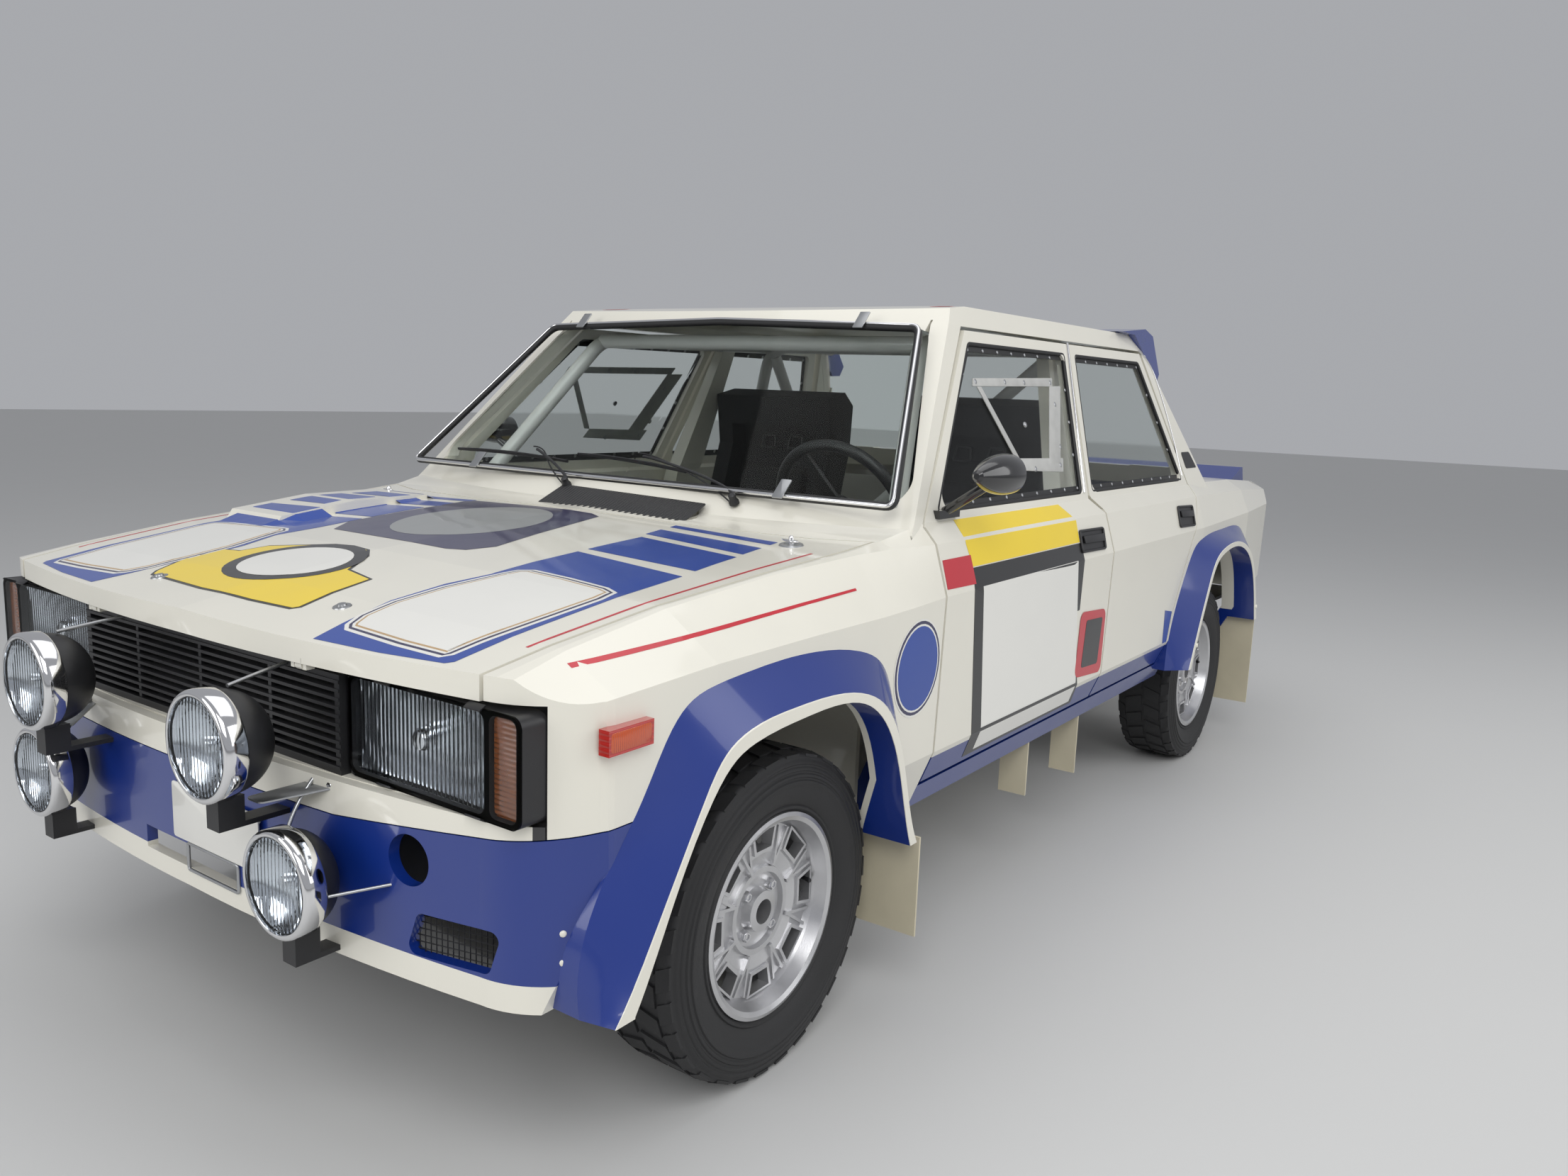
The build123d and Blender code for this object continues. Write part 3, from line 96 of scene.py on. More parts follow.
lamp_table = (
    # name, place, aim, size, power
    ("key_lamp", (4.5, 3.5, 4.5), (0.5, 0.3, 0.5), 3.5, 150),
    ("side_lamp", (-1.5, 5.5, 3.2), (-0.3, 0.0, 0.6), 4.0, 95),
    ("front_lamp", (6.0, -1.5, 2.6), (1.5, 0.0, 0.5), 3.0, 70),
    ("top_lamp", (0.0, 0.0, 5.5), (0.0, 0.0, 0.0), 5.0, 75),
)
for name, place_at, aim, size, power in lamp_table:
    deselect()
    bpy.ops.object.light_add(type="AREA", location=place_at)
    lamp = bpy.context.object
    lamp.name = name
    lamp.data.size = size
    lamp.data.energy = power
    lamp.rotation_euler = (Vector(aim) - Vector(place_at)).to_track_quat("-Z", "Y").to_euler()

eye = at(1569, 1846, 1186)
yaw, pitch, roll = (math.radians(angle) for angle in (215.01, -9.59, 2.17))
forward = Vector(
    (math.cos(yaw) * math.cos(pitch), math.sin(yaw) * math.cos(pitch), math.sin(pitch))
)
level_right = forward.cross(Vector((0, 0, 1))).normalized()
level_up = level_right.cross(forward)
right = math.cos(roll) * level_right + math.sin(roll) * level_up
up = -math.sin(roll) * level_right + math.cos(roll) * level_up
deselect()
bpy.ops.object.camera_add(location=eye)
camera = bpy.context.object
camera.name = "photo_camera"
camera.matrix_world = Matrix.Translation(eye) @ Matrix((right, up, -forward)).transposed().to_4x4()
camera.data.sensor_width = SENSOR
camera.data.lens = SENSOR * FOCAL_PIXELS / PHOTO_WIDTH
camera.data.clip_end = 100
bpy.context.scene.camera = camera
bpy.context.scene.view_settings.view_transform = "Standard"


# Body shell paint
# Pressed steel panels in cream white, sprayed and polished by hand, with a little orange peel.
# The blue parts are glass fibre in the same gloss, and the underside is a duller white.
def speckled(name, colour, roughness, metallic=0.0, coat=0.0, shade=0.04, spread=9.0, bump=0.02,
             fine=600.0):
    """A finish whose colour drifts softly and whose surface has a fine grain."""
    material, tree, shader, place = new_material(name)
    drift = tree.nodes.new("ShaderNodeTexNoise")
    drift.inputs["Scale"].default_value = spread
    drift.inputs["Detail"].default_value = 4
    mix = tree.nodes.new("ShaderNodeMix")
    mix.data_type = "RGBA"
    dark = [c * (1 - 2 * shade) for c in colour]
    light = [min(1.0, c * (1 + shade)) for c in colour]
    mix.inputs["A"].default_value = (*dark, 1)
    mix.inputs["B"].default_value = (*light, 1)
    tree.links.new(place.outputs["Object"], drift.inputs["Vector"])
    tree.links.new(drift.outputs["Fac"], mix.inputs["Factor"])
    tree.links.new(mix.outputs["Result"], shader.inputs["Base Color"])
    grain = tree.nodes.new("ShaderNodeTexNoise")
    grain.inputs["Scale"].default_value = fine
    relief = tree.nodes.new("ShaderNodeBump")
    relief.inputs["Strength"].default_value = bump
    relief.inputs["Distance"].default_value = 0.002
    tree.links.new(place.outputs["Object"], grain.inputs["Vector"])
    tree.links.new(grain.outputs["Fac"], relief.inputs["Height"])
    tree.links.new(relief.outputs["Normal"], shader.inputs["Normal"])
    spots = tree.nodes.new("ShaderNodeMapRange")
    spots.inputs["To Min"].default_value = roughness * 0.8
    spots.inputs["To Max"].default_value = min(1.0, roughness * 1.25)
    tree.links.new(drift.outputs["Fac"], spots.inputs["Value"])
    tree.links.new(spots.outputs["Result"], shader.inputs["Roughness"])
    shader.inputs["Metallic"].default_value = metallic
    shader.inputs["Coat Weight"].default_value = coat
    shader.inputs["Coat Roughness"].default_value = 0.06
    return material


def dress(material, *names):
    """Give CAD nodes their finish."""
    for name in names:
        nodes[name].data.materials.clear()
        nodes[name].data.materials.append(material)


WHITE = (0.80, 0.775, 0.68)
BLUE = (0.005, 0.028, 0.22)
white_paint = speckled("cream_paint", WHITE, 0.3, coat=0.7, shade=0.012, bump=0.012, fine=350)
blue_paint = speckled("blue_paint", BLUE, 0.28, coat=0.7, shade=0.05, bump=0.02, fine=300)
under_paint = speckled("underbody_paint", (0.5, 0.49, 0.45), 0.55, shade=0.12, spread=5, bump=0.1)
dress(white_paint, "roof_panel", "cowl_firewall", "rear_panel", "front_wings", "bonnet")
dress(blue_paint, "roof_spoiler")
dress(under_paint, "floor_pan")


def two_tone(name, low_colour, high_colour, axis, edge):
    """A paint whose two colours meet along a masked line, on both sides of the car's middle."""
    material = speckled(name, high_colour, 0.3, coat=0.7, shade=0.012, bump=0.012, fine=350)
    tree = material.node_tree
    shader = tree.nodes["Principled BSDF"]
    upper = shader.inputs["Base Color"].links[0].from_socket
    place = next(node for node in tree.nodes if node.type == "TEX_COORD")
    split = tree.nodes.new("ShaderNodeSeparateXYZ")
    size = tree.nodes.new("ShaderNodeMath")
    size.operation = "ABSOLUTE"
    mask = tree.nodes.new("ShaderNodeMath")
    mask.operation = "GREATER_THAN"
    mask.inputs[1].default_value = edge
    colours = tree.nodes.new("ShaderNodeMix")
    colours.data_type = "RGBA"
    colours.inputs["A"].default_value = (*low_colour, 1)
    tree.links.new(place.outputs["Object"], split.inputs["Vector"])
    tree.links.new(split.outputs[axis], size.inputs[0])
    tree.links.new(size.outputs["Value"], mask.inputs[0])
    tree.links.new(mask.outputs["Value"], colours.inputs["Factor"])
    tree.links.new(upper, colours.inputs["B"])
    tree.links.new(colours.outputs["Result"], shader.inputs["Base Color"])
    return material


# Where the colours meet, in m from the middle or the ground
SILL_TOP, VALANCE_EDGE, FLARE_LIP, GRILLE_PLANE, LID_LIP = 0.468, 0.376, 0.8507, 1.8715, 1.865
side_paint = two_tone("side_paint", BLUE, WHITE, "Z", SILL_TOP)
valance_paint = two_tone("valance_paint", WHITE, BLUE, "Z", VALANCE_EDGE)
flare_paint = two_tone("flare_paint", BLUE, WHITE, "Y", FLARE_LIP)
nose_paint = two_tone("nose_paint", (0.02, 0.02, 0.021), WHITE, "X", GRILLE_PLANE)
boot_paint = two_tone("boot_paint", WHITE, BLUE, "X", LID_LIP)
dress(side_paint, "side_frames", "front_door_left", "front_door_right", "rear_door_left",
      "rear_door_right")
dress(valance_paint, "front_valance")
dress(nose_paint, "nose_frame")
dress(flare_paint, "wheel_flares")
dress(boot_paint, "boot_lid")

# Rubber, plastic and metal finishes
# Tyres are carbon-black rubber, trim and lamp shells are moulded or painted black, the wheels are
# cast and lightly polished, and the running gear is enamelled black.
tyre_rubber = speckled("tyre_rubber", (0.022, 0.022, 0.023), 0.62, shade=0.25, spread=14, bump=0.15)
black_trim = speckled("black_trim", (0.018, 0.018, 0.02), 0.42, shade=0.2, spread=20, bump=0.06)
cast_silver = speckled("cast_silver", (0.62, 0.62, 0.63), 0.3, metallic=0.85, shade=0.07,
                       spread=30, bump=0.08)
black_enamel = speckled("black_enamel", (0.03, 0.03, 0.032), 0.45, shade=0.2, bump=0.08)
pipe_steel = speckled("pipe_steel", (0.35, 0.32, 0.29), 0.45, metallic=0.8, shade=0.2, spread=12,
                      bump=0.1)
engine_alloy = speckled("engine_alloy", (0.32, 0.32, 0.33), 0.5, metallic=0.6, shade=0.15, bump=0.1)
cage_paint = speckled("cage_paint", (0.72, 0.72, 0.70), 0.35, coat=0.4, shade=0.03)
flap_plastic = speckled("flap_plastic", (0.66, 0.60, 0.44), 0.55, shade=0.12, spread=7, bump=0.12)
seat_cloth = speckled("seat_cloth", (0.02, 0.02, 0.022), 0.9, shade=0.2, bump=0.3, fine=900)
red_lens = speckled("red_lens", (0.45, 0.02, 0.015), 0.2, coat=0.8, shade=0.05)
chrome = speckled("bright_chrome", (0.78, 0.78, 0.79), 0.08, metallic=1.0, shade=0.03, bump=0.005)
dress(tyre_rubber, "tyre_front_left", "tyre_front_right", "tyre_rear_left", "tyre_rear_right")
dress(cast_silver, "rim_front_left", "rim_front_right", "rim_rear_left", "rim_rear_right")
dress(black_trim, "grille", "headlamps", "spot_lamps", "dashboard", "steering_wheel")
dress(black_enamel, "front_suspension", "rear_axle", "knuckle_left", "knuckle_right")
dress(pipe_steel, "exhaust")
dress(engine_alloy, "engine_block")
dress(cage_paint, "roll_cage")
dress(flap_plastic, "mud_flaps")
dress(seat_cloth, "bucket_seats")
dress(red_lens, "signal_lamps")


# Glass
# The screens are laminated glass, the side windows clear plastic sheet, and the lamps have thick
# moulded lenses.
def clear_sheet(name, tint, roughness):
    """A clear sheet with faint smears, thin enough that it hardly bends the light."""
    material, tree, shader, place = new_material(name)
    smear = tree.nodes.new("ShaderNodeTexNoise")
    smear.inputs["Scale"].default_value = 6
    spread = tree.nodes.new("ShaderNodeMapRange")
    spread.inputs["To Min"].default_value = roughness
    spread.inputs["To Max"].default_value = roughness * 2
    tree.links.new(place.outputs["Object"], smear.inputs["Vector"])
    tree.links.new(smear.outputs["Fac"], spread.inputs["Value"])
    tree.links.new(spread.outputs["Result"], shader.inputs["Roughness"])
    shader.inputs["Base Color"].default_value = (*tint, 1)
    shader.inputs["Transmission Weight"].default_value = 1.0
    shader.inputs["IOR"].default_value = 1.12
    return material


screen_glass = clear_sheet("screen_glass", (0.86, 0.9, 0.88), 0.015)
side_plastic = clear_sheet("side_plastic", (0.85, 0.87, 0.86), 0.03)
lamp_cover = clear_sheet("lamp_cover", (0.93, 0.95, 0.96), 0.02)
dress(screen_glass, "windscreen", "rear_window")
dress(side_plastic, "front_glass_left", "front_glass_right", "rear_glass_left", "rear_glass_right")
dress(lamp_cover, "lamp_glass")


# Livery on the bonnet
# Bars, panels and an empty rally plate, all cut from thin coloured vinyl and pressed on by hand.
TOP_PITCH, SIDE_PITCH = 40, 14  # mm between the cuts that let a sheet follow its panel
CAST_FROM = 1500  # mm, outside the car
MISSED = 1.45  # m, past every panel
VINYL = 0.0003
FIXED_PANELS = ("front_wings", "roof_panel", "side_frames")


def sticker(name, outline, panel, finish, lift=0.5, corner=0.0, side=0):
    """A vinyl sheet cut to an outline in mm and pressed onto a panel, from above or from a side."""
    deselect()
    bpy.ops.mesh.primitive_circle_add(vertices=len(outline), fill_type="NGON")
    sheet = bpy.context.object
    sheet.name = name
    for vertex, (along, across) in zip(sheet.data.vertices, outline):
        vertex.co = at(along, side * CAST_FROM, across) if side else at(along, across, CAST_FROM)
    bpy.ops.object.mode_set(mode="EDIT")
    bpy.ops.mesh.select_mode(type="VERT")
    bpy.ops.mesh.select_all(action="SELECT")
    if corner:
        bpy.ops.mesh.bevel(affect="VERTICES", offset=corner / 1000, segments=4)
    lows = [min(point[i] for point in outline) for i in (0, 1)]
    highs = [max(point[i] for point in outline) for i in (0, 1)]
    for i in (0, 1):
        pitch = SIDE_PITCH if side and i == 1 else TOP_PITCH
        steps = max(1, round((highs[i] - lows[i]) / pitch))
        for step in range(1, steps):
            cut = lows[i] + (highs[i] - lows[i]) * step / steps
            if i == 0:
                spot, normal = at(cut, 0, 0), (1, 0, 0)
            elif side:
                spot, normal = at(0, 0, cut), (0, 0, 1)
            else:
                spot, normal = at(0, cut, 0), (0, 1, 0)
            bpy.ops.mesh.select_all(action="SELECT")
            bpy.ops.mesh.bisect(plane_co=spot, plane_no=normal)
    bpy.ops.mesh.select_all(action="DESELECT")
    bpy.ops.object.mode_set(mode="OBJECT")
    press = sheet.modifiers.new("press", "SHRINKWRAP")
    press.target = nodes[panel]
    press.wrap_method = "PROJECT"
    press.use_project_y = bool(side)
    press.use_project_z = not side
    press.use_positive_direction = side < 0
    press.use_negative_direction = side >= 0
    press.offset = lift / 1000
    bpy.ops.object.modifier_apply(modifier="press")
    # What the panel doesn't back, past its edge or over a gap, is trimmed off.
    for vertex in sheet.data.vertices:
        vertex.select = (abs(vertex.co.y) if side else vertex.co.z) > MISSED
    bpy.ops.object.mode_set(mode="EDIT")
    bpy.ops.mesh.delete(type="VERT")
    bpy.ops.object.mode_set(mode="OBJECT")
    wall = sheet.modifiers.new("wall", "SOLIDIFY")
    wall.thickness = VINYL
    wall.offset = 0
    bpy.ops.object.modifier_apply(modifier="wall")
    sheet.data.materials.append(finish)
    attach(sheet, "body" if panel in FIXED_PANELS else panel)
    return sheet


def mirrored(outline):
    """The outline on the other side of the car's middle."""
    return [(x, -y) for x, y in outline]


def oval(x, y, half_x, half_y):
    """An outline of 36 points round a centre."""
    return [(x + half_x * math.cos(turn), y + half_y * math.sin(turn))
            for turn in (math.radians(angle) for angle in range(0, 360, 10))]


blue_vinyl = speckled("blue_vinyl", (0.004, 0.05, 0.33), 0.3, coat=0.5, shade=0.03)
white_vinyl = speckled("white_vinyl", (0.82, 0.81, 0.76), 0.32, coat=0.5, shade=0.01)
navy_vinyl = speckled("navy_vinyl", (0.018, 0.016, 0.075), 0.32, coat=0.5, shade=0.05)
gold_vinyl = speckled("gold_vinyl", (0.50, 0.33, 0.16), 0.35, coat=0.4, shade=0.05)
yellow_vinyl = speckled("yellow_vinyl", (0.90, 0.66, 0.02), 0.32, coat=0.5, shade=0.02)
black_vinyl = speckled("black_vinyl", (0.012, 0.012, 0.013), 0.34, coat=0.4, shade=0.1)
grey_vinyl = speckled("grey_vinyl", (0.28, 0.29, 0.29), 0.36, coat=0.3, shade=0.05)
red_vinyl = speckled("red_vinyl", (0.55, 0.015, 0.03), 0.32, coat=0.5, shade=0.04)

blue_field = [(592, 333), (532, 316), (429, 294), (327, 297), (249, 320), (154, 315), (47, 320),
              (83, 598), (237, 600), (397, 597), (489, 597), (553, 597), (563, 588), (581, 470)]
white_panel = [(535, 326), (549, 345), (555, 470), (554, 565), (538, 577), (488, 578), (429, 583),
               (330, 587), (262, 590), (222, 583), (207, 550), (195, 452), (190, 363), (207, 338),
               (270, 322), (340, 304), (432, 299), (500, 308)]
blue_bars = [
    [(22, 321), (-117, 326), (-83, 583), (42, 592)],
    [(-145, 312), (-196, 306), (-172, 572), (-108, 578)],
    [(-226, 304), (-246, 302), (-232, 566), (-205, 568)],
]


def shrunk(outline, step):
    """The outline moved inwards by a step, corner by corner."""
    points = [Vector(point) for point in outline]
    centre = sum(points, Vector((0, 0))) / len(points)
    moved = []
    for i, point in enumerate(points):
        before, after = points[i - 1], points[(i + 1) % len(points)]
        along = (after - before).normalized()
        inward = Vector((-along.y, along.x))
        if inward.dot(centre - point) < 0:
            inward = -inward
        moved.append(tuple(point + inward * step))
    return moved


for side, turn in (("left", list), ("right", mirrored)):
    sticker("bonnet_field_" + side, turn(blue_field), "bonnet", blue_vinyl, 0.5)
    for step, finish, lift in ((0, white_vinyl, 0.9), (7, navy_vinyl, 1.2), (12, white_vinyl, 1.5),
                               (17, gold_vinyl, 1.8), (21, white_vinyl, 2.1)):
        sticker("bonnet_panel_%s_%d" % (side, step), turn(shrunk(white_panel, step)), "bonnet",
                finish, lift)
    for i, bar in enumerate(blue_bars):
        sticker("bonnet_bar_%s_%d" % (side, i), turn(bar), "bonnet", blue_vinyl, 0.5)

dark_sign = [(150, -268), (81, -317), (-222, -316), (-241, -300), (-247, -100), (-243, 70),
             (-225, 107), (103, 165), (153, 140), (167, 100), (167, 1)]
sticker("bonnet_sign", dark_sign, "bonnet", navy_vinyl, 0.5)
sticker("bonnet_sign_oval", oval(-52, -84, 168, 158), "bonnet", grey_vinyl, 0.9)

rally_plate = [(524, -262), (506, -280), (366, -339), (353, -262), (306, -244), (274, -177),
               (246, -120), (240, -71), (250, -10), (279, 29), (351, 77), (369, 163), (452, 175),
               (518, 189), (532, 178), (538, 74), (538, -75)]
sticker("rally_plate_edge", rally_plate, "bonnet", black_vinyl, 0.5)
sticker("rally_plate_face", shrunk(rally_plate, 6), "bonnet", yellow_vinyl, 0.9)
for name, grow, finish, lift in (("ring", 24, black_vinyl, 1.3), ("disc", 0, white_vinyl, 1.7)):
    ring = oval(362, -70, 92 + grow, 112 + grow)
    sticker("rally_plate_" + name, ring, "bonnet", finish, lift)
for side, turn in (("left", list), ("right", mirrored)):
    line = [(470, 645), (200, 658), (-188, 671), (-188, 676), (200, 663), (470, 650)]
    sticker("bonnet_line_" + side, turn(line), "bonnet", red_vinyl, 0.5)

# Livery on the doors
# A yellow strip and a blank number board on each front door, and small generic signs beside them.
door_signs = (
    # name, outline (x, z), finish, lift, corner, node
    ("yellow_strip", [(-600, 934), (-1147, 934), (-1187, 896), (-1181, 844), (-603, 842),
                      (-593, 889)],
     yellow_vinyl, 0.5, 0, "front_door"),
    ("red_mark", [(-481, 866), (-603, 866), (-603, 808), (-479, 810)], red_vinyl, 0.6, 0,
     "front_door"),
    ("board_black", [(-603, 840), (-1190, 842), (-1192, 676), (-1156, 674), (-1262, 396),
                     (-689, 396), (-650, 396), (-592, 798)], black_vinyl, 0.5, 0, "front_door"),
    ("board_white", [(-632, 800), (-1148, 803), (-1228, 432), (-690, 432)], white_vinyl, 0.9, 0,
     "front_door"),
    ("red_square", [(-1204, 668), (-1378, 656), (-1384, 486), (-1203, 500)], red_vinyl, 1.3, 22,
     "front_door"),
    ("red_square_face", [(-1246, 642), (-1358, 636), (-1352, 514), (-1240, 520)], black_vinyl, 1.7,
     8, "front_door"),
    ("blue_flash", [(-1890, 582), (-1958, 570), (-1938, 480), (-1900, 480)], blue_vinyl, 0.5, 0,
     "rear_door"),
)
for side, sign in SIDES:
    for name, outline, finish, lift, corner, node in door_signs:
        panel = node + "_" + side
        sticker(name + "_" + side, outline, panel, finish, lift, corner, sign)
    for name, grow, finish, lift in (("rim", 6, white_vinyl, 0.5), ("edge", 2, navy_vinyl, 0.9),
                                     ("line", -4, white_vinyl, 1.3), ("face", -8, blue_vinyl, 1.7)):
        sticker("wing_oval_%s_%s" % (name, side), oval(-373, 671, 84 + grow, 90 + grow),
                "front_wings", finish, lift, 0, sign)

# Tyres
# Narrow gravel tyres in hard black rubber: a turned carcass with ribbed shoulders, a plain band and
# a rim rib, and four rows of square-cut lugs laid round the tread.
def settle(piece, name, material, body="body", angle=40):
    """Names a piece, gives it its material and hands it to the CAD body that carries it."""
    piece.name = name
    deselect()
    piece.select_set(True)
    bpy.context.view_layer.objects.active = piece
    bpy.ops.object.transform_apply(location=True, rotation=True, scale=True)
    bpy.ops.object.mode_set(mode="EDIT")
    bpy.ops.mesh.select_all(action="SELECT")
    bpy.ops.mesh.normals_make_consistent(inside=False)
    bpy.ops.object.mode_set(mode="OBJECT")
    bpy.ops.object.shade_smooth_by_angle(angle=math.radians(angle))
    piece.data.materials.clear()
    piece.data.materials.append(material)
    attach(piece, body)
    return piece


def spun(name, profile, centre, axis, material, body="body", steps=48):
    """A turned piece: its profile is a closed loop of (radius, height) in mm about an axis."""
    deselect()
    bpy.ops.mesh.primitive_circle_add(vertices=len(profile), fill_type="NOTHING")
    piece = bpy.context.object
    along = Vector(axis).normalized()
    across = along.orthogonal().normalized()
    middle = at(*centre)
    for vertex, (radius, height) in zip(piece.data.vertices, profile):
        vertex.co = middle + (across * radius + along * height) / 1000
    bpy.ops.object.mode_set(mode="EDIT")
    bpy.ops.mesh.select_all(action="SELECT")
    bpy.ops.mesh.spin(steps=steps, angle=math.tau, center=middle, axis=along)
    bpy.ops.mesh.select_all(action="SELECT")
    bpy.ops.mesh.remove_doubles(threshold=0.00001)
    bpy.ops.mesh.delete_loose()
    bpy.ops.object.mode_set(mode="OBJECT")
    return settle(piece, name, material, body)


WHEELBASE = 2424
WHEEL_Y = 678
WHEEL_Z = 290
LUGS_A_ROW = 30
LUG_WIDTH = 7.6  # degrees
SHOULDER_DROP = 5.5
wheels = (("front_left", 0, False), ("front_right", 0, True),
          ("rear_left", -WHEELBASE, False), ("rear_right", -WHEELBASE, True))
wheel_centre = (0, WHEEL_Y, WHEEL_Z)
half_profile = [(172, 60), (178, 68), (184, 73), (187, 77), (191, 77), (193, 74.5), (200, 79),
                (212, 84), (224, 87), (232, 88.5), (234, 90), (238, 90), (240, 87.5), (243, 87.5),
                (245, 89.5), (249, 89), (251, 86.5), (254, 86.3), (256, 88), (260, 87), (262, 84.5),
                (265, 84), (267, 85.5), (271, 84), (273, 81.5), (277, 80.5), (281, 79.5), (285, 74),
                (285.5, 60)]
tyre_profile = half_profile + [(radius, -offset) for radius, offset in reversed(half_profile)]
carcass = spun("tyre_carcass_front_left", tyre_profile, wheel_centre, (0, 1, 0), tyre_rubber,
               "wheel_front_left", 72)
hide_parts("tyre_front_left")
lug_rows = (
    # near edge, far edge, and how many degrees each edge leans
    (-81, -58, 2.0, 0.0), (-53, -4, 0.0, 3.0), (4, 53, 3.0, 0.0), (58, 81, 0.0, 2.0),
)
lug_faces = ((0, 1, 3, 2), (4, 6, 7, 5), (0, 4, 5, 1), (2, 3, 7, 6), (0, 2, 6, 4), (1, 5, 7, 3))
corners, faces = [], []
for row, (near, far, lean_near, lean_far) in enumerate(lug_rows):
    for i in range(LUGS_A_ROW):
        start = 12 * i + 6 * (row % 2)
        first = len(corners)
        for radius in (284.5, 289.6):
            for offset, lean in ((near, lean_near), (far, lean_far)):
                for width in (0, LUG_WIDTH):
                    turn = math.radians(start + lean + width)
                    high = radius - (SHOULDER_DROP if abs(offset) > 80 else 0)
                    corners.append(at(high * math.cos(turn), WHEEL_Y + offset,
                                      WHEEL_Z + high * math.sin(turn)))
        faces += [tuple(first + corner for corner in face) for face in lug_faces]
mesh = bpy.data.meshes.new("tyre_lugs")
mesh.from_pydata(corners, [], faces)
lugs = bpy.data.objects.new("tyre_lugs_front_left", mesh)
bpy.context.collection.objects.link(lugs)
settle(lugs, "tyre_lugs_front_left", tyre_rubber, "wheel_front_left")

# Wheel fittings
# Four plated hexagon nuts hold each wheel, a black rubber valve stands behind the lip, and a dark
# cap closes the hub bore.
def moved_copy(piece, name, body, shift=0.0, flip=False):
    """A copy with its own mesh, further along the car or on its other side."""
    twin = piece.copy()
    twin.data = piece.data.copy()
    twin.name = name
    bpy.context.collection.objects.link(twin)
    for vertex in twin.data.vertices:
        vertex.co.x += shift / 1000
        if flip:
            vertex.co.y = -vertex.co.y
    if flip:
        twin.data.flip_normals()
    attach(twin, body)
    return twin


nut_profile = [(0, 32), (10.4, 32), (10.4, 43), (8.2, 46), (6, 46), (6, 44), (0, 44)]
fittings = [carcass, lugs]
NUT_CIRCLE = 51
for i in range(4):
    turn = math.radians(45 + 90 * i)
    centre = (NUT_CIRCLE * math.cos(turn), WHEEL_Y, WHEEL_Z + NUT_CIRCLE * math.sin(turn))
    fittings.append(spun("wheel_nut_%d_front_left" % i, nut_profile, centre, (0, 1, 0), chrome,
                         "wheel_front_left", 6))
valve_profile = [(0, 0), (5, 0), (5.5, 6), (4, 9), (3.6, 22), (4.2, 23), (4.2, 31), (3.2, 33),
                 (0, 33)]
fittings.append(spun("wheel_valve_front_left", valve_profile, (-151, 698, 299), (0.25, 1, 0),
                     black_trim, "wheel_front_left", 16))
cap_profile = [(0, 8), (21.6, 8), (21.6, 12), (15, 20), (9, 22), (0, 22)]
fittings.append(spun("hub_cap_front_left", cap_profile, wheel_centre, (0, 1, 0), black_enamel,
                     "wheel_front_left", 32))
for place_name, shift, flip in wheels[1:]:
    for piece in fittings:
        twin = moved_copy(piece, piece.name.replace("front_left", place_name),
                          "wheel_" + place_name, shift, flip)
        if piece is carcass:
            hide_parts("tyre_" + place_name)

# Driving lamps
# Each lamp has a plated rim band that wraps a third of its bowl, a bright reflector with a bulb
# shield, and a thick glass with fine moulded flutes. Round stays and steel plates brace them.
def ribbed(material, axis, pitch, depth):
    """Moulds parallel ribs, a pitch apart in mm along an axis, into a material."""
    tree = material.node_tree
    place = next(node for node in tree.nodes if node.type == "TEX_COORD")
    wave = tree.nodes.new("ShaderNodeTexWave")
    wave.bands_direction = axis
    wave.inputs["Scale"].default_value = math.tau / (20 * pitch / 1000)
    relief = tree.nodes.new("ShaderNodeBump")
    relief.inputs["Distance"].default_value = depth / 1000
    tree.links.new(place.outputs["Object"], wave.inputs["Vector"])
    tree.links.new(wave.outputs["Fac"], relief.inputs["Height"])
    tree.links.new(relief.outputs["Normal"], tree.nodes["Principled BSDF"].inputs["Normal"])
    return material


def wire(name, points, radius, material, body="body", closed=False):
    """A bent round rod along points in mm."""
    deselect()
    line = bpy.data.curves.new(name, "CURVE")
    line.dimensions = "3D"
    run = line.splines.new("NURBS")
    run.points.add(len(points) - 1)
    for knot, point in zip(run.points, points):
        knot.co = (*at(*point), 1)
    run.use_cyclic_u = closed
    run.order_u = min(len(points), 3)
    run.use_endpoint_u = not closed
    line.bevel_depth = radius / 1000
    line.bevel_resolution = 2
    line.resolution_u = 6
    line.use_fill_caps = not closed
    rod = bpy.data.objects.new(name, line)
    bpy.context.collection.objects.link(rod)
    rod.select_set(True)
    bpy.context.view_layer.objects.active = rod
    bpy.ops.object.convert(target="MESH")
    return settle(bpy.context.object, name, material, body, 60)


def plate(name, corners, thick, material, body="body", edge=0.6, corner=0.0):
    """A flat sheet cut to corners in mm and as thick as a vector, with broken edges."""
    deselect()
    bpy.ops.mesh.primitive_circle_add(vertices=len(corners), fill_type="NGON")
    piece = bpy.context.object
    for vertex, point in zip(piece.data.vertices, corners):
        vertex.co = at(*point)
    bpy.ops.object.mode_set(mode="EDIT")
    bpy.ops.mesh.select_all(action="SELECT")
    if corner:
        bpy.ops.mesh.bevel(affect="VERTICES", offset=corner / 1000, segments=4)
        bpy.ops.mesh.select_all(action="SELECT")
    bpy.ops.mesh.extrude_region_move(TRANSFORM_OT_translate={"value": Vector(thick) / 1000})
    bpy.ops.mesh.select_all(action="SELECT")
    bpy.ops.mesh.bevel(offset=edge / 1000, segments=2, clamp_overlap=True)
    bpy.ops.object.mode_set(mode="OBJECT")
    return settle(piece, name, material, body)


def upright(x, y0, y1, z0, z1):
    """The corners of a rectangle that faces along the car."""
    return [(x, y0, z0), (x, y1, z0), (x, y1, z1), (x, y0, z1)]


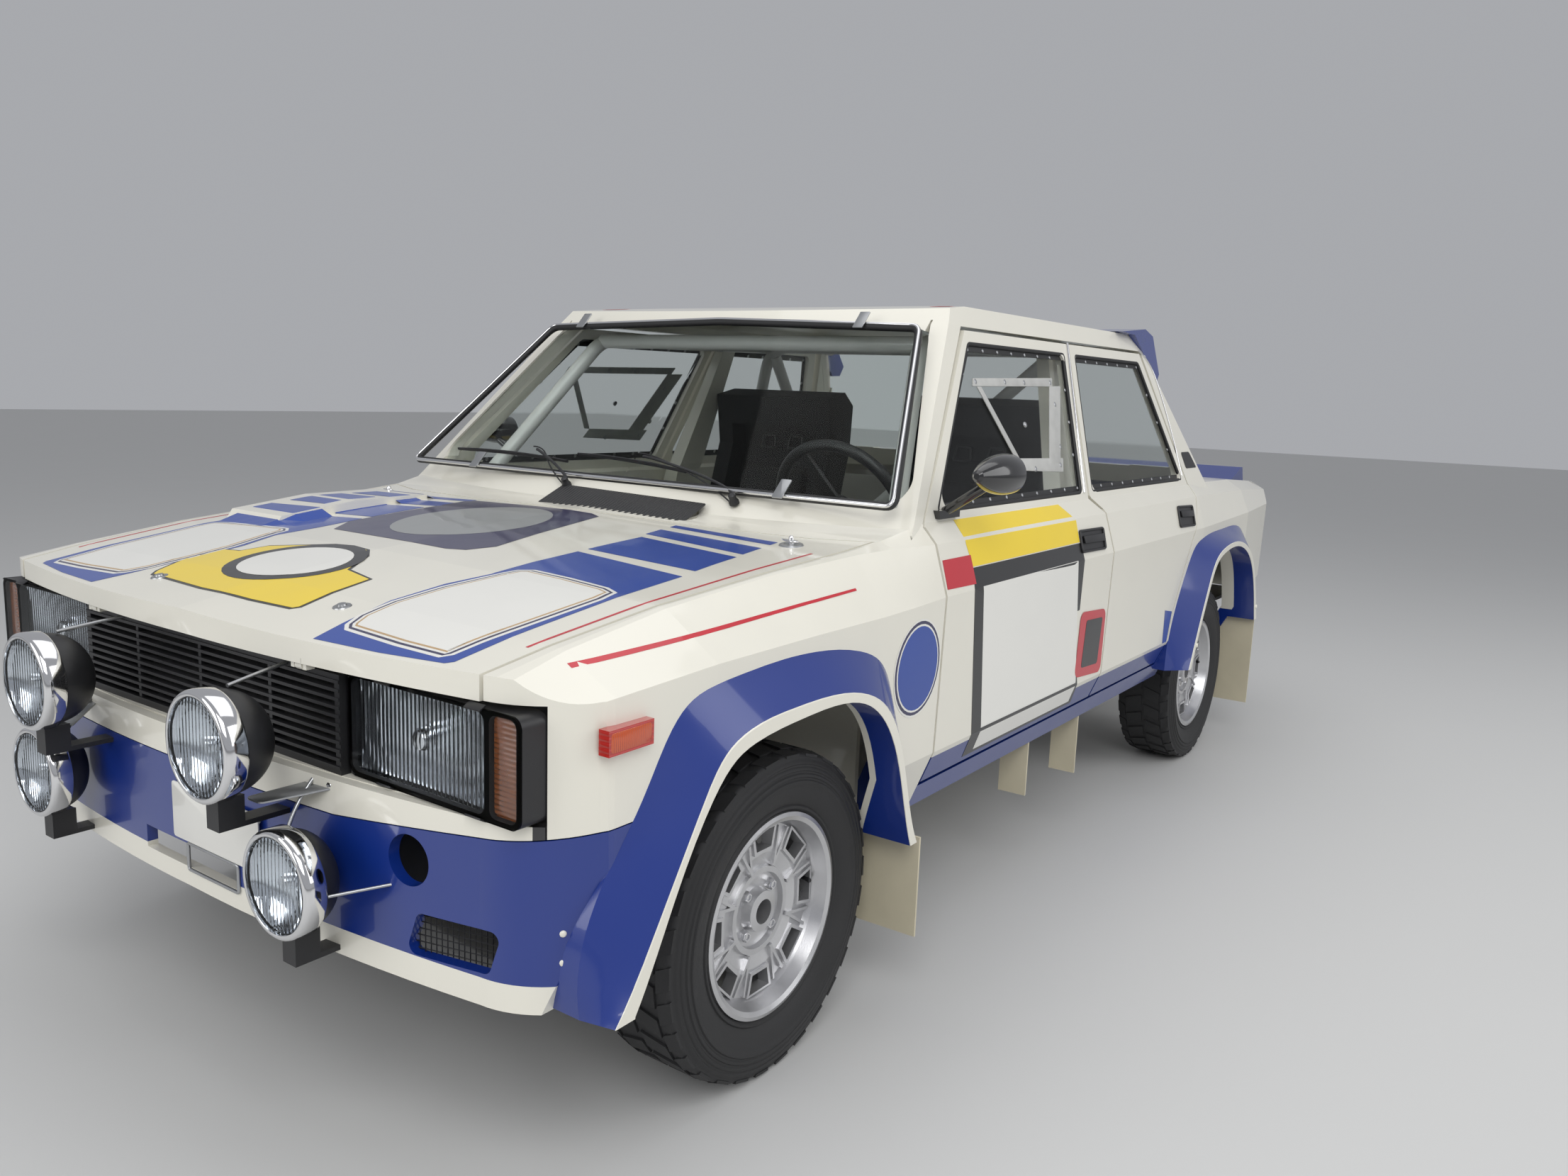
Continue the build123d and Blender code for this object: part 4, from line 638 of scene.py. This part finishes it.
def to_right(pieces):
    """Copies a list of the body's pieces from the car's left side to its right side."""
    for piece in pieces:
        moved_copy(piece, piece.name.replace("left", "right"), "body", flip=True)


lens_glass = ribbed(clear_sheet("fluted_glass", (0.94, 0.96, 0.98), 0.03), "Y", 9, 1.2)
bright_dish = speckled("lamp_reflector", (0.86, 0.87, 0.9), 0.06, metallic=1.0, shade=0.02,
                       bump=0.004)
zinc_plate = speckled("zinc_plate", (0.45, 0.46, 0.47), 0.32, metallic=0.9, shade=0.12, bump=0.05)
AHEAD = (1, 0, 0)
for label, radius, centre in (("upper", 82, (735, 267, 659)), ("lower", 80, (689, 373, 468))):
    band = [(radius - 9.5, 2.5), (radius - 7, 3.6), (radius - 3, 3), (radius, 0),
            (radius + 1.3, -6), (radius + 1.6, -26), (radius - 0.5, -30), (radius - 3, -30),
            (radius - 3, -5), (radius - 9.5, -2)]
    dish = [(radius - 10, -7), (radius - 14, -14), (radius - 30, -25), (radius - 55, -33), (8, -36),
            (8, -38), (radius - 54, -35.5), (radius - 28, -27.5), (radius - 12, -16),
            (radius - 9.4, -8)]
    shield = [(0, -15), (9, -16), (12, -20), (12, -31), (10, -36), (0, -36)]
    glass = [(0, -3), (radius - 30, -4), (radius - 10, -6), (radius - 10, -7.5), (radius - 30, -6),
             (0, -5)]
    made = [
        spun(label + "_lamp_band_left", band, centre, AHEAD, chrome, steps=64),
        spun(label + "_lamp_dish_left", dish, centre, AHEAD, bright_dish),
        spun(label + "_lamp_shield_left", shield, centre, AHEAD, chrome,
             steps=24),
        spun(label + "_lamp_flutes_left", glass, centre, AHEAD, lens_glass),
    ]
    to_right(made)
stays = [
    wire("upper_lamp_stay_left", [(684, 262, 738), (640, 255, 745), (576, 246, 753)], 3.2,
         zinc_plate),
    wire("lower_lamp_stay_left", [(655, 448, 462), (610, 480, 468), (566, 512, 474)], 2.4,
         zinc_plate),
    wire("middle_lamp_stay_left", [(652, 344, 520), (640, 340, 560), (600, 336, 596)], 3.0,
         zinc_plate),
    plate("lamp_brace_left", [(668, 268, 566), (668, 306, 566), (572, 404, 594), (572, 344, 594)],
          (0, 0, 3), zinc_plate, corner=9),
]
brace_bolt = [(0, 0), (7.5, 0), (7.5, 4), (5, 6.5), (0, 6.5)]
stays.append(spun("lamp_brace_bolt_left", brace_bolt, (594, 372, 592), (0.28, 0, 0.96), chrome,
                  steps=6))
to_right(stays)

# Headlamps
# A rectangular reflector behind fluted glass and a smoked amber indicator outboard of it, under a
# clear box cover that four black clips hold.
DISH_X, DISH_Y, DISH_Z = 540, 530, 683.5
DISH_HALF_WIDE, DISH_HALF_HIGH, DISH_DEPTH = 136, 67, 18
amber_glass = ribbed(speckled("smoked_amber", (0.22, 0.06, 0.012), 0.12, coat=1.0, shade=0.1),
                     "Z", 7, 0.8)
deselect()
bpy.ops.mesh.primitive_grid_add(x_subdivisions=16, y_subdivisions=10, size=2)
dish = bpy.context.object
for vertex in dish.data.vertices:
    across, rise = vertex.co.x, vertex.co.y
    depth = DISH_DEPTH * (0.55 * across ** 2 + 0.45 * rise ** 2)
    vertex.co = at(DISH_X + depth, DISH_Y + DISH_HALF_WIDE * across, DISH_Z + DISH_HALF_HIGH * rise)
wall = dish.modifiers.new("wall", "SOLIDIFY")
wall.thickness = 0.001
bpy.context.view_layer.objects.active = dish
bpy.ops.object.modifier_apply(modifier="wall")
settle(dish, "headlamp_dish_left", bright_dish)
headlamp = [
    dish,
    spun("headlamp_shield_left", [(0, 22), (13, 20), (17, 14), (17, 2), (12, 0), (0, 0)],
         (541, 530, 684), AHEAD, chrome, steps=24),
    plate("headlamp_flutes_left", upright(561, 392, 670, 615, 752), (3, 0, 0), lens_glass,
          corner=12),
    plate("indicator_left", upright(548, 688, 736, 615, 752), (16, 0, 0), amber_glass,
          corner=8, edge=2),
]
for i, (y, z) in enumerate(((470, 762), (660, 762), (470, 605), (660, 605))):
    drop = -1 if z > 700 else 1
    corners = [(566, y - 16, z), (566, y + 16, z), (577, y + 16, z + 6 * drop),
               (577, y - 16, z + 6 * drop)]
    headlamp.append(plate("cover_clip_%d_left" % i, corners, (1.5, 0, -2.5 * drop), black_trim))
to_right(headlamp)

# Side markers
# A ribbed orange lens on a black base, on each front wing ahead of the flare.
marker_orange = ribbed(speckled("marker_orange", (0.62, 0.09, 0.012), 0.15, coat=1.0, shade=0.08),
                       "X", 4, 0.7)
marker = plate("side_marker_left",
               [(395, 811.5, 704), (475, 811.5, 704), (475, 811.5, 732), (395, 811.5, 732)],
               (0, 1.8, 0), marker_orange, corner=5, edge=0.7)
to_right([marker])

# Rivets on the flares
# Each rear flare is a separate glass fibre moulding, held to the wing by wide domed rivets. Smaller
# ones hold the front valance at its ends.
def studs(name, spots, direction, panel, radius, material, body="body"):
    """Domed rivet heads in one mesh, each where a line from its spot in mm meets the panel."""
    sides, back = 12, 0.15
    corners, faces = [], []
    aim = Vector(direction).normalized()
    for spot in spots:
        hit, where, normal, _ = nodes[panel].ray_cast(at(*spot) - aim * back, aim)
        if not hit:
            continue
        turn = normal.to_track_quat("Z", "Y")
        first = len(corners)
        for share, rise in ((1.0, -0.2), (1.0, 0.15), (0.85, 0.4), (0.5, 0.55)):
            for i in range(sides):
                angle = math.tau * i / sides
                spoke = Vector((math.cos(angle) * share, math.sin(angle) * share, rise))
                corners.append(where + turn @ (spoke * radius / 1000))
        for ring in range(3):
            low = first + sides * ring
            faces += [(low + i, low + (i + 1) % sides, low + sides + (i + 1) % sides,
                       low + sides + i) for i in range(sides)]
        faces.append(tuple(range(first + 3 * sides, first + 4 * sides)))
        faces.append(tuple(reversed(range(first, first + sides))))
    mesh = bpy.data.meshes.new(name)
    mesh.from_pydata(corners, [], faces)
    piece = bpy.data.objects.new(name, mesh)
    bpy.context.collection.objects.link(piece)
    return settle(piece, name, material, body)


FLARE_RADIUS = 395
rear_rivets = [(-WHEELBASE + FLARE_RADIUS * math.cos(turn), 900,
                WHEEL_Z + FLARE_RADIUS * math.sin(turn))
               for turn in (math.radians(angle) for angle in (25, 50, 75, 100, 125, 150))]
for side, sign in SIDES:
    studs("rear_flare_rivets_" + side, [(x, sign * y, z) for x, y, z in rear_rivets], (0, -sign, 0),
          "wheel_flares", 7.5, white_paint)
lip_rivets = [(700, sign * 765, z) for sign in (1, -1) for z in (452, 410, 368)]
studs("valance_rivets", lip_rivets, (-1, 0, 0), "front_valance", 5.0, white_paint)

# Windscreen trim
# A black rubber seal with a bright bead laid in it, four sheet clips, and two wipers with their
# washer hoses. The screen is flat enough to take its places from one sloping line.
ends = [nodes["windscreen"].ray_cast(at(300, 0, z), Vector((-1, 0, 0)))[1] for z in (1000, 1300)]
slope = (ends[1].x - ends[0].x) / (ends[1].z - ends[0].z)


def on_screen(y, z, proud=0.0):
    """A point in mm that stands proud of the windscreen's face."""
    x = ends[0].x * 1000 - FRONT_AXLE_X + slope * (z - ends[0].z * 1000)
    lean = math.hypot(1, slope)
    return (x + proud / lean, y, z - proud * slope / lean)


def softened(outline, step):
    """The outline with two more points beside each corner, so that a curve rounds it."""
    points = [Vector(point) for point in outline]
    soft = []
    for i, point in enumerate(points):
        before, after = points[i - 1], points[(i + 1) % len(points)]
        soft += [point + (before - point).normalized() * step, point,
                 point + (after - point).normalized() * step]
    return [tuple(point) for point in soft]


seal_rubber = speckled("seal_rubber", (0.015, 0.015, 0.016), 0.5, shade=0.2, bump=0.08)
screen_outline = [(-719, 962), (719, 962), (566, 1326), (0, 1342), (-566, 1326)]
wire("screen_seal", [on_screen(y, z, 5) for y, z in softened(shrunk(screen_outline, 4), 40)], 9,
     seal_rubber, closed=True)
wire("screen_bead", [on_screen(y, z, 11) for y, z in softened(shrunk(screen_outline, 1), 40)], 4.2,
     chrome, closed=True)
for i, (y, z) in enumerate(((-450, 1338), (415, 1338), (-474, 966), (455, 966))):
    lift = -1 if z > 1200 else 1
    corners = [on_screen(y - 13, z - 12 * lift, 17), on_screen(y + 13, z - 12 * lift, 17),
               on_screen(y + 13, z + 24 * lift, 16), on_screen(y - 13, z + 24 * lift, 16)]
    plate("screen_clip_%d" % i, corners, (2, 0, 2), zinc_plate, corner=2)
pivot_profile = [(0, -4), (11, -4), (11, 3), (8, 8), (8, 17), (5, 20), (0, 20)]
wipers = (
    # name, pivot, elbow, grip, blade ends
    ("right", (-372, -138, 948), (-398, -190, 985), (-300, 1008), (-584, 998), (-187, 992)),
    ("left", (-384, 342, 948), (-408, 290, 985), (40, 1012), (-168, 1010), (176, 993)),
)
for side, pivot, elbow, grip, start, end in wipers:
    spun("wiper_pivot_" + side, pivot_profile, pivot, (0.5, 0, 0.86), black_trim, steps=24)
    arm = [(pivot[0], pivot[1], pivot[2] + 16), elbow, on_screen(*grip, 24), on_screen(*grip, 14)]
    wire("wiper_arm_" + side, arm, 3.4, black_trim)
    middle = ((start[0] + end[0]) / 2, (start[1] + end[1]) / 2 + 6)
    wire("wiper_blade_" + side, [on_screen(*start, 7), on_screen(*middle, 8), on_screen(*end, 7)],
         3.0, black_trim)
    wire("wiper_bow_" + side, [on_screen(*start, 10), on_screen(*middle, 19), on_screen(*end, 10)],
         2.2, black_trim)
    hose = [(pivot[0], pivot[1] - 12, pivot[2]), (elbow[0] + 6, elbow[1] - 26, elbow[2] - 6),
            on_screen(grip[0] + 26, grip[1] + 4, 22), on_screen(grip[0] - 18, grip[1] + 6, 16)]
    wire("wiper_hose_" + side, hose, 1.7, seal_rubber)

# Side windows
# Clear plastic sheets with hazy scratches, riveted all round over a black rubber strip. Each front
# sheet has a small sliding pane that runs in milky plastic strips held by screws.
GLASS_Y = 733.0
GLASS_FOOT_Z = 935
LEAN = 0.3457
OUT_Y, OUT_Z = 0.945, 0.327


def on_glass(x, z, proud, sign):
    """A point in mm on the side windows' plane."""
    level = GLASS_Y - LEAN * (z - GLASS_FOOT_Z)
    return (x, sign * (level + OUT_Y * proud), z + OUT_Z * proud)


milky_plastic = speckled("milky_plastic", (0.50, 0.50, 0.48), 0.35, shade=0.12, spread=25, bump=0.1)
windows = (
    ("front", ((-545, 950), (-1322, 950), (-1430, 1302), (-870, 1302))),
    ("rear", ((-1392, 950), (-2148, 950), (-2010, 1302), (-1502, 1302))),
)
slide_strips = (
    ((-864, 1224), (-1323, 1237), (-1310, 1216), (-855, 1206)),
    ((-1293, 1216), (-1365, 1218), (-1243, 1026), (-1175, 1028)),
    ((-1009, 1045), (-1269, 1039), (-1248, 1006), (-991, 1018)),
    ((-876, 1206), (-898, 1206), (-1010, 1045), (-988, 1045)),
)
slide_screws = ((-874, 1217), (-1031, 1220), (-1141, 1221), (-1303, 1225), (-1300, 1171),
                (-1269, 1067), (-1241, 1023), (-1087, 1019), (-1090, 1122))
for side, sign in SIDES:
    out = Vector((0, sign * OUT_Y, OUT_Z))
    for end, outline in windows:
        panel, door = "%s_glass_%s" % (end, side), "%s_door_%s" % (end, side)
        border = shrunk(outline, 2)
        wire("%s_window_seal_%s" % (end, side),
             [on_glass(x, z, 4, sign) for x, z in softened(border, 26)],
             5.5, seal_rubber, door, closed=True)
        line = shrunk(outline, 15)
        inner = shrunk(outline, 21)
        outer = shrunk(outline, 5)
        for i in range(4):
            pair = (outer[i], outer[(i + 1) % 4], inner[(i + 1) % 4], inner[i])
            plate("%s_window_strip_%d_%s" % (end, i, side),
                  [on_glass(x, z, 0.4, sign) for x, z in pair],
                  out * 1.2, seal_rubber, door, edge=0.3)
        spots = []
        for i in range(4):
            (x0, z0), (x1, z1) = line[i], line[(i + 1) % 4]
            count = max(3, round(math.hypot(x1 - x0, z1 - z0) / 82))
            spots += [(x0 + (x1 - x0) * step / count, sign * 850, z0 + (z1 - z0) * step / count)
                      for step in range(count)]
        studs("%s_window_rivets_%s" % (end, side), spots, (0, -sign, 0), panel, 5.2, zinc_plate,
              door)
    door = "front_door_" + side
    for i, strip in enumerate(slide_strips):
        plate("slide_strip_%d_%s" % (i, side), [on_glass(x, z, 0.5, sign) for x, z in strip],
              out * 2.4, milky_plastic, door, 0.5, 3)
    studs("slide_screws_" + side, [(x, sign * 850, z) for x, z in slide_screws], (0, -sign, 0),
          "front_glass_" + side, 7.5, zinc_plate, door)
    post = [on_glass(-1464, 1329, 10, sign), on_glass(-1395, 1140, 11, sign),
            on_glass(-1331, 950, 10, sign)]
    wire("post_strip_" + side, post, 4.0, chrome, door)
    rear = [(-2035, 1336), (-2115, 1311), (-2147, 1205), (-2160, 1054), (-2153, 962)]
    wire("rear_window_bead_" + side, [on_glass(x, z, 10, sign) for x, z in rear], 2.6, chrome,
         "rear_door_" + side)

# Door handles
# A black moulded pocket in each door, with a raised frame round it and a flat pull across its top.
def on_panel(panel, x, z, sign, proud=0.0):
    """The point in mm where a level line from one side meets a panel, moved out from its face."""
    start = at(x, sign * CAST_FROM, z)
    _, where, normal, _ = nodes[panel].ray_cast(start, Vector((0, -sign, 0)))
    where = where + normal * proud / 1000
    return (where.x * 1000 - FRONT_AXLE_X, where.y * 1000, where.z * 1000)


handles = (("front", ((-1190, 869), (-1345, 866), (-1336, 817), (-1183, 820))),
           ("rear", ((-1972, 882), (-2110, 877), (-2100, 821), (-1960, 825))))
for side, sign in SIDES:
    for end, outline in handles:
        door = "%s_door_%s" % (end, side)
        sticker("%s_handle_pocket_%s" % (end, side), outline, door, black_trim, 1.0, 10, sign)
        frame_line = [on_panel(door, x, z, sign, 2.5) for x, z in softened(outline, 14)]
        wire("%s_handle_frame_%s" % (end, side), frame_line, 3.4, black_trim, door, closed=True)
        (x0, z0), (x1, z1) = outline[:2]
        pull = [on_panel(door, x, z, sign, 3) for x, z in
                ((x0 - 12, z0 - 12), (x1 + 12, z1 - 12), (x1 + 12, z1 - 30), (x0 - 12, z0 - 30))]
        plate("%s_handle_pull_%s" % (end, side), pull, (0, sign * 5, 0), black_trim, door, edge=1.5)

# Mirrors
# Glossy black bullets with a flat glass behind and a bright ring round it.
gloss_black = speckled("gloss_black", (0.012, 0.012, 0.013), 0.16, coat=0.8, shade=0.1, bump=0.01)
dress(gloss_black, "mirror_left", "mirror_right")
mirror_ring = [(0, 0), (35, 0), (35, -2.5), (38.5, -3), (39.6, 0), (39.6, 2), (0, 2)]
for side, centre in (("left", (-616, 850, 1035)), ("right", (-831, -850, 1035))):
    spun("mirror_glass_" + side, mirror_ring, centre, AHEAD, chrome, "front_door_" + side)

# Nose openings
# Dark wire mesh stands behind the round hole and the brake duct, a grey frame edges the middle
# slot, and an empty white plate is screwed on above it.
mesh_steel = speckled("mesh_steel", (0.02, 0.02, 0.022), 0.5, metallic=0.5, shade=0.2)


def front_x(y, z):
    """How far forward the valance stands at a height and a width in mm."""
    where = nodes["front_valance"].ray_cast(at(CAST_FROM, y, z), Vector((-1, 0, 0)))[1]
    return where.x * 1000 - FRONT_AXLE_X


openings = (
    # name, centre (y, z), half width, half height, how far forward
    ("round", 532, 516, 43, 43, front_x(532, 566)),
    ("duct", 611, 412, 92, 40, front_x(611, 470)),
)
STRAND_PITCH = 9
for label, y, z, half_wide, half_high, x in openings:
    deselect()
    bpy.ops.mesh.primitive_grid_add(x_subdivisions=2 * half_wide // STRAND_PITCH,
                                    y_subdivisions=2 * half_high // STRAND_PITCH, size=2)
    screen = bpy.context.object
    for vertex in screen.data.vertices:
        across, rise = vertex.co.x, vertex.co.y
        vertex.co = at(x - 22 - 0.25 * half_wide * across, y + half_wide * across,
                       z + half_high * rise)
    strands = screen.modifiers.new("strands", "WIREFRAME")
    strands.thickness = 0.0022
    bpy.context.view_layer.objects.active = screen
    bpy.ops.object.modifier_apply(modifier="strands")
    to_right([settle(screen, label + "_mesh_left", mesh_steel)])
slot_x = front_x(70, 425)
slot_line = [(slot_x + 1, y, z) for y, z in
             softened([(-4, 365), (145, 365), (145, 411), (-4, 411)], 10)]
wire("slot_frame", slot_line, 3.0, zinc_plate, closed=True)
plate_x = max(front_x(86, z) for z in (420, 458, 500)) + 3
plate("blank_plate", upright(plate_x, -40, 213, 416, 512), (2.5, 0, 0), white_vinyl,
      corner=6)
studs("plate_screws", [(plate_x + 40, y, z) for y, z in ((-28, 500), (201, 500), (86, 426))],
      (-1, 0, 0), "front_valance", 6.5, zinc_plate)

# Bonnet fittings
# Two spring pins stand in cupped washers at the bonnet's rear corners, two fixing washers lie near
# its front edge, and a dark plate with moulded ribs fills the air intake ahead of the windscreen.
# Its dark colour is partly the slats' own and partly painted shade for the shadow between them.
def top_of(panel, x, y):
    """A panel's height in mm and its normal, where a line from above meets it."""
    _, where, normal, _ = nodes[panel].ray_cast(at(x, y, CAST_FROM), Vector((0, 0, -1)))
    return where.z * 1000, normal


PIN_X, PIN_Y = -228, 600
washer = [(0, 0), (24, 0), (22, 2.6), (12, 3.2), (9, 1.6), (0, 1.6)]
stem = [(0, 0), (5, 0), (5, 15), (3, 18), (0, 18)]
for side, sign in SIDES:
    y = sign * PIN_Y
    z, normal = top_of("bonnet", PIN_X, y)
    spun("pin_washer_rear_" + side, washer, (PIN_X, y, z), normal, zinc_plate, "bonnet",
         32)
    spun("pin_stem_rear_" + side, stem, (PIN_X, y, z), normal, chrome, "bonnet", 16)
    loop = [(PIN_X + along, y + across, z + 9)
            for along, across in ((0, -22), (0, 16), (10, 22), (18, 4), (4, -16))]
    wire("pin_spring_rear_" + side, loop, 1.6, chrome, "bonnet")
small_washer = [(0, 0), (15, 0), (14, 1.6), (8, 2.2), (7, 5), (0, 5)]
for side, x, y in (("left", 485, 247), ("right", 524, -230)):
    z, normal = top_of("bonnet", x, y)
    spun("bonnet_washer_" + side, small_washer, (x, y, z), normal, zinc_plate, "bonnet",
         24)
# Painted shade, in part: this dark ribbed finish stands for the slats and the shadow between them.
intake_cover = ribbed(speckled("intake_cover", (0.035, 0.035, 0.036), 0.5, shade=0.15), "Y", 9, 4)
# Corners of the dark plate that lays this painted shade over the intake's white slats and gaps.
cover = []
for x, y, reach in ((-292, -150, 8), (-292, 286, 8), (-370, 280, -12), (-370, -146, -12)):
    cover.append((x, y, top_of("cowl_firewall", x + reach, y)[0] - 1.5))
plate("cowl_intake_cover", cover, (0, 0, 2.4), intake_cover, corner=6)

# Tail and roof trim
# A black vent sits in each rear pillar, a thin red line runs along each wing, and the roof has a
# plain red and a plain blue mark along each side. The tail lamps hold amber and clear lenses.
for side, sign in SIDES:
    sticker("roof_red_" + side, [(-905, sign * 545), (-1180, sign * 545), (-1180, sign * 500),
            (-905, sign * 495)], "roof_panel", red_vinyl, 0.6)
    sticker("roof_blue_" + side, [(-1230, sign * 545), (-1500, sign * 545), (-1500, sign * 500),
            (-1230, sign * 500)], "roof_panel", blue_vinyl, 0.6)
    sticker("pillar_vent_" + side, [(-2205, 1035), (-2285, 1035), (-2325, 985), (-2218, 985)],
            "side_frames", black_trim, 1.2, 8, sign)
    sticker("wing_line_" + side, [(465, 805), (-194, 838), (-194, 842), (465, 810)], "front_wings",
            red_vinyl, 0.6, 0, sign)
amber_lens = ribbed(speckled("amber_lens", (0.65, 0.16, 0.01), 0.15, coat=1.0, shade=0.05),
                    "Z", 8, 0.8)
clear_lens = ribbed(speckled("clear_lens", (0.62, 0.60, 0.58), 0.15, coat=1.0, shade=0.05),
                    "Z", 8, 0.8)
ribbed(red_lens, "Z", 8, 0.8)
LENS_FOOT, LENS_TOP = 604, 738
tail_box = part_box("signal_lamps")
tail_face = tail_box[0].x * 1000 - FRONT_AXLE_X
for side, sign in SIDES:
    for name, low, high, lens in (("indicator", 635, 688, amber_lens),
                                  ("reversing", 457, 508, clear_lens)):
        corners = upright(tail_face + 2.2, sign * low, sign * high, LENS_FOOT, LENS_TOP)
        plate("tail_%s_%s" % (name, side), corners, (-1.8, 0, 0), lens, corner=5)
leg_rivets = ((-2150, 1290), (-2135, 1262), (-2180, 1262))
for side, sign in SIDES:
    studs("spoiler_rivets_" + side, [(x, sign * 800, z) for x, z in leg_rivets], (0, -sign, 0),
          "roof_spoiler", 5.0, zinc_plate)

# Seats
# Two black cloth buckets. Each has a sewn seat pad and back pad laid in its shell, filled with
# foam, and two slots for the shoulder straps under the headrest.
CLOTH_FRAMES = 20
SEAT_Y, PAD_HALF_WIDE, STRAP_Y = 345, 128, 52
SWELL = 10


def swollen(piece, name, reach):
    """Fills a pad like a cushion: cloth under light pressure, with its swelling capped in mm."""
    deselect()
    piece.select_set(True)
    bpy.context.view_layer.objects.active = piece
    skin = piece.modifiers.new("skin", "REMESH")
    skin.mode = "VOXEL"
    skin.voxel_size = 0.009
    bpy.ops.object.modifier_apply(modifier="skin")
    start = [vertex.co.copy() for vertex in piece.data.vertices]
    cloth = piece.modifiers.new("filling", "CLOTH")
    cloth.settings.use_pressure = True
    cloth.settings.uniform_pressure_force = 4
    cloth.settings.effector_weights.gravity = 0
    for step in range(1, CLOTH_FRAMES + 1):
        bpy.context.scene.frame_set(step)
    bpy.ops.object.modifier_apply(modifier="filling")
    bpy.context.scene.frame_set(1)
    for vertex, before in zip(piece.data.vertices, start):
        move = vertex.co - before
        if move.length > reach / 1000:
            vertex.co = before + move.normalized() * reach / 1000
    smooth = piece.modifiers.new("stretch", "SUBSURF")
    smooth.levels = 1
    bpy.ops.object.modifier_apply(modifier="stretch")
    settle(piece, name, seat_cloth, angle=60)
    return piece


for side, sign in SIDES:
    middle = sign * SEAT_Y
    near, far = middle - PAD_HALF_WIDE, middle + PAD_HALF_WIDE
    pad = plate("seat_pad_raw_" + side, [(-985, near, 520), (-985, far, 520), (-1290, far, 487),
                (-1290, near, 487)], (2, 0, 44), seat_cloth, edge=10, corner=30)
    swollen(pad, "seat_pad_" + side, SWELL)
    pad = plate("seat_back_raw_" + side, [(-1398, near, 560), (-1398, far, 560), (-1515, far, 940),
                (-1515, near, 940)], (40, 0, 12), seat_cloth, edge=10, corner=36)
    swollen(pad, "seat_back_" + side, SWELL)
    for i, y in enumerate((middle - STRAP_Y, middle + STRAP_Y)):
        ring = [(-1518, y - 27, 1000), (-1518, y + 27, 1000), (-1526, y + 22, 1040),
                (-1526, y - 22, 1040)]
        wire("strap_slot_%d_%s" % (i, side), softened(ring, 12), 4.5, black_trim, closed=True)
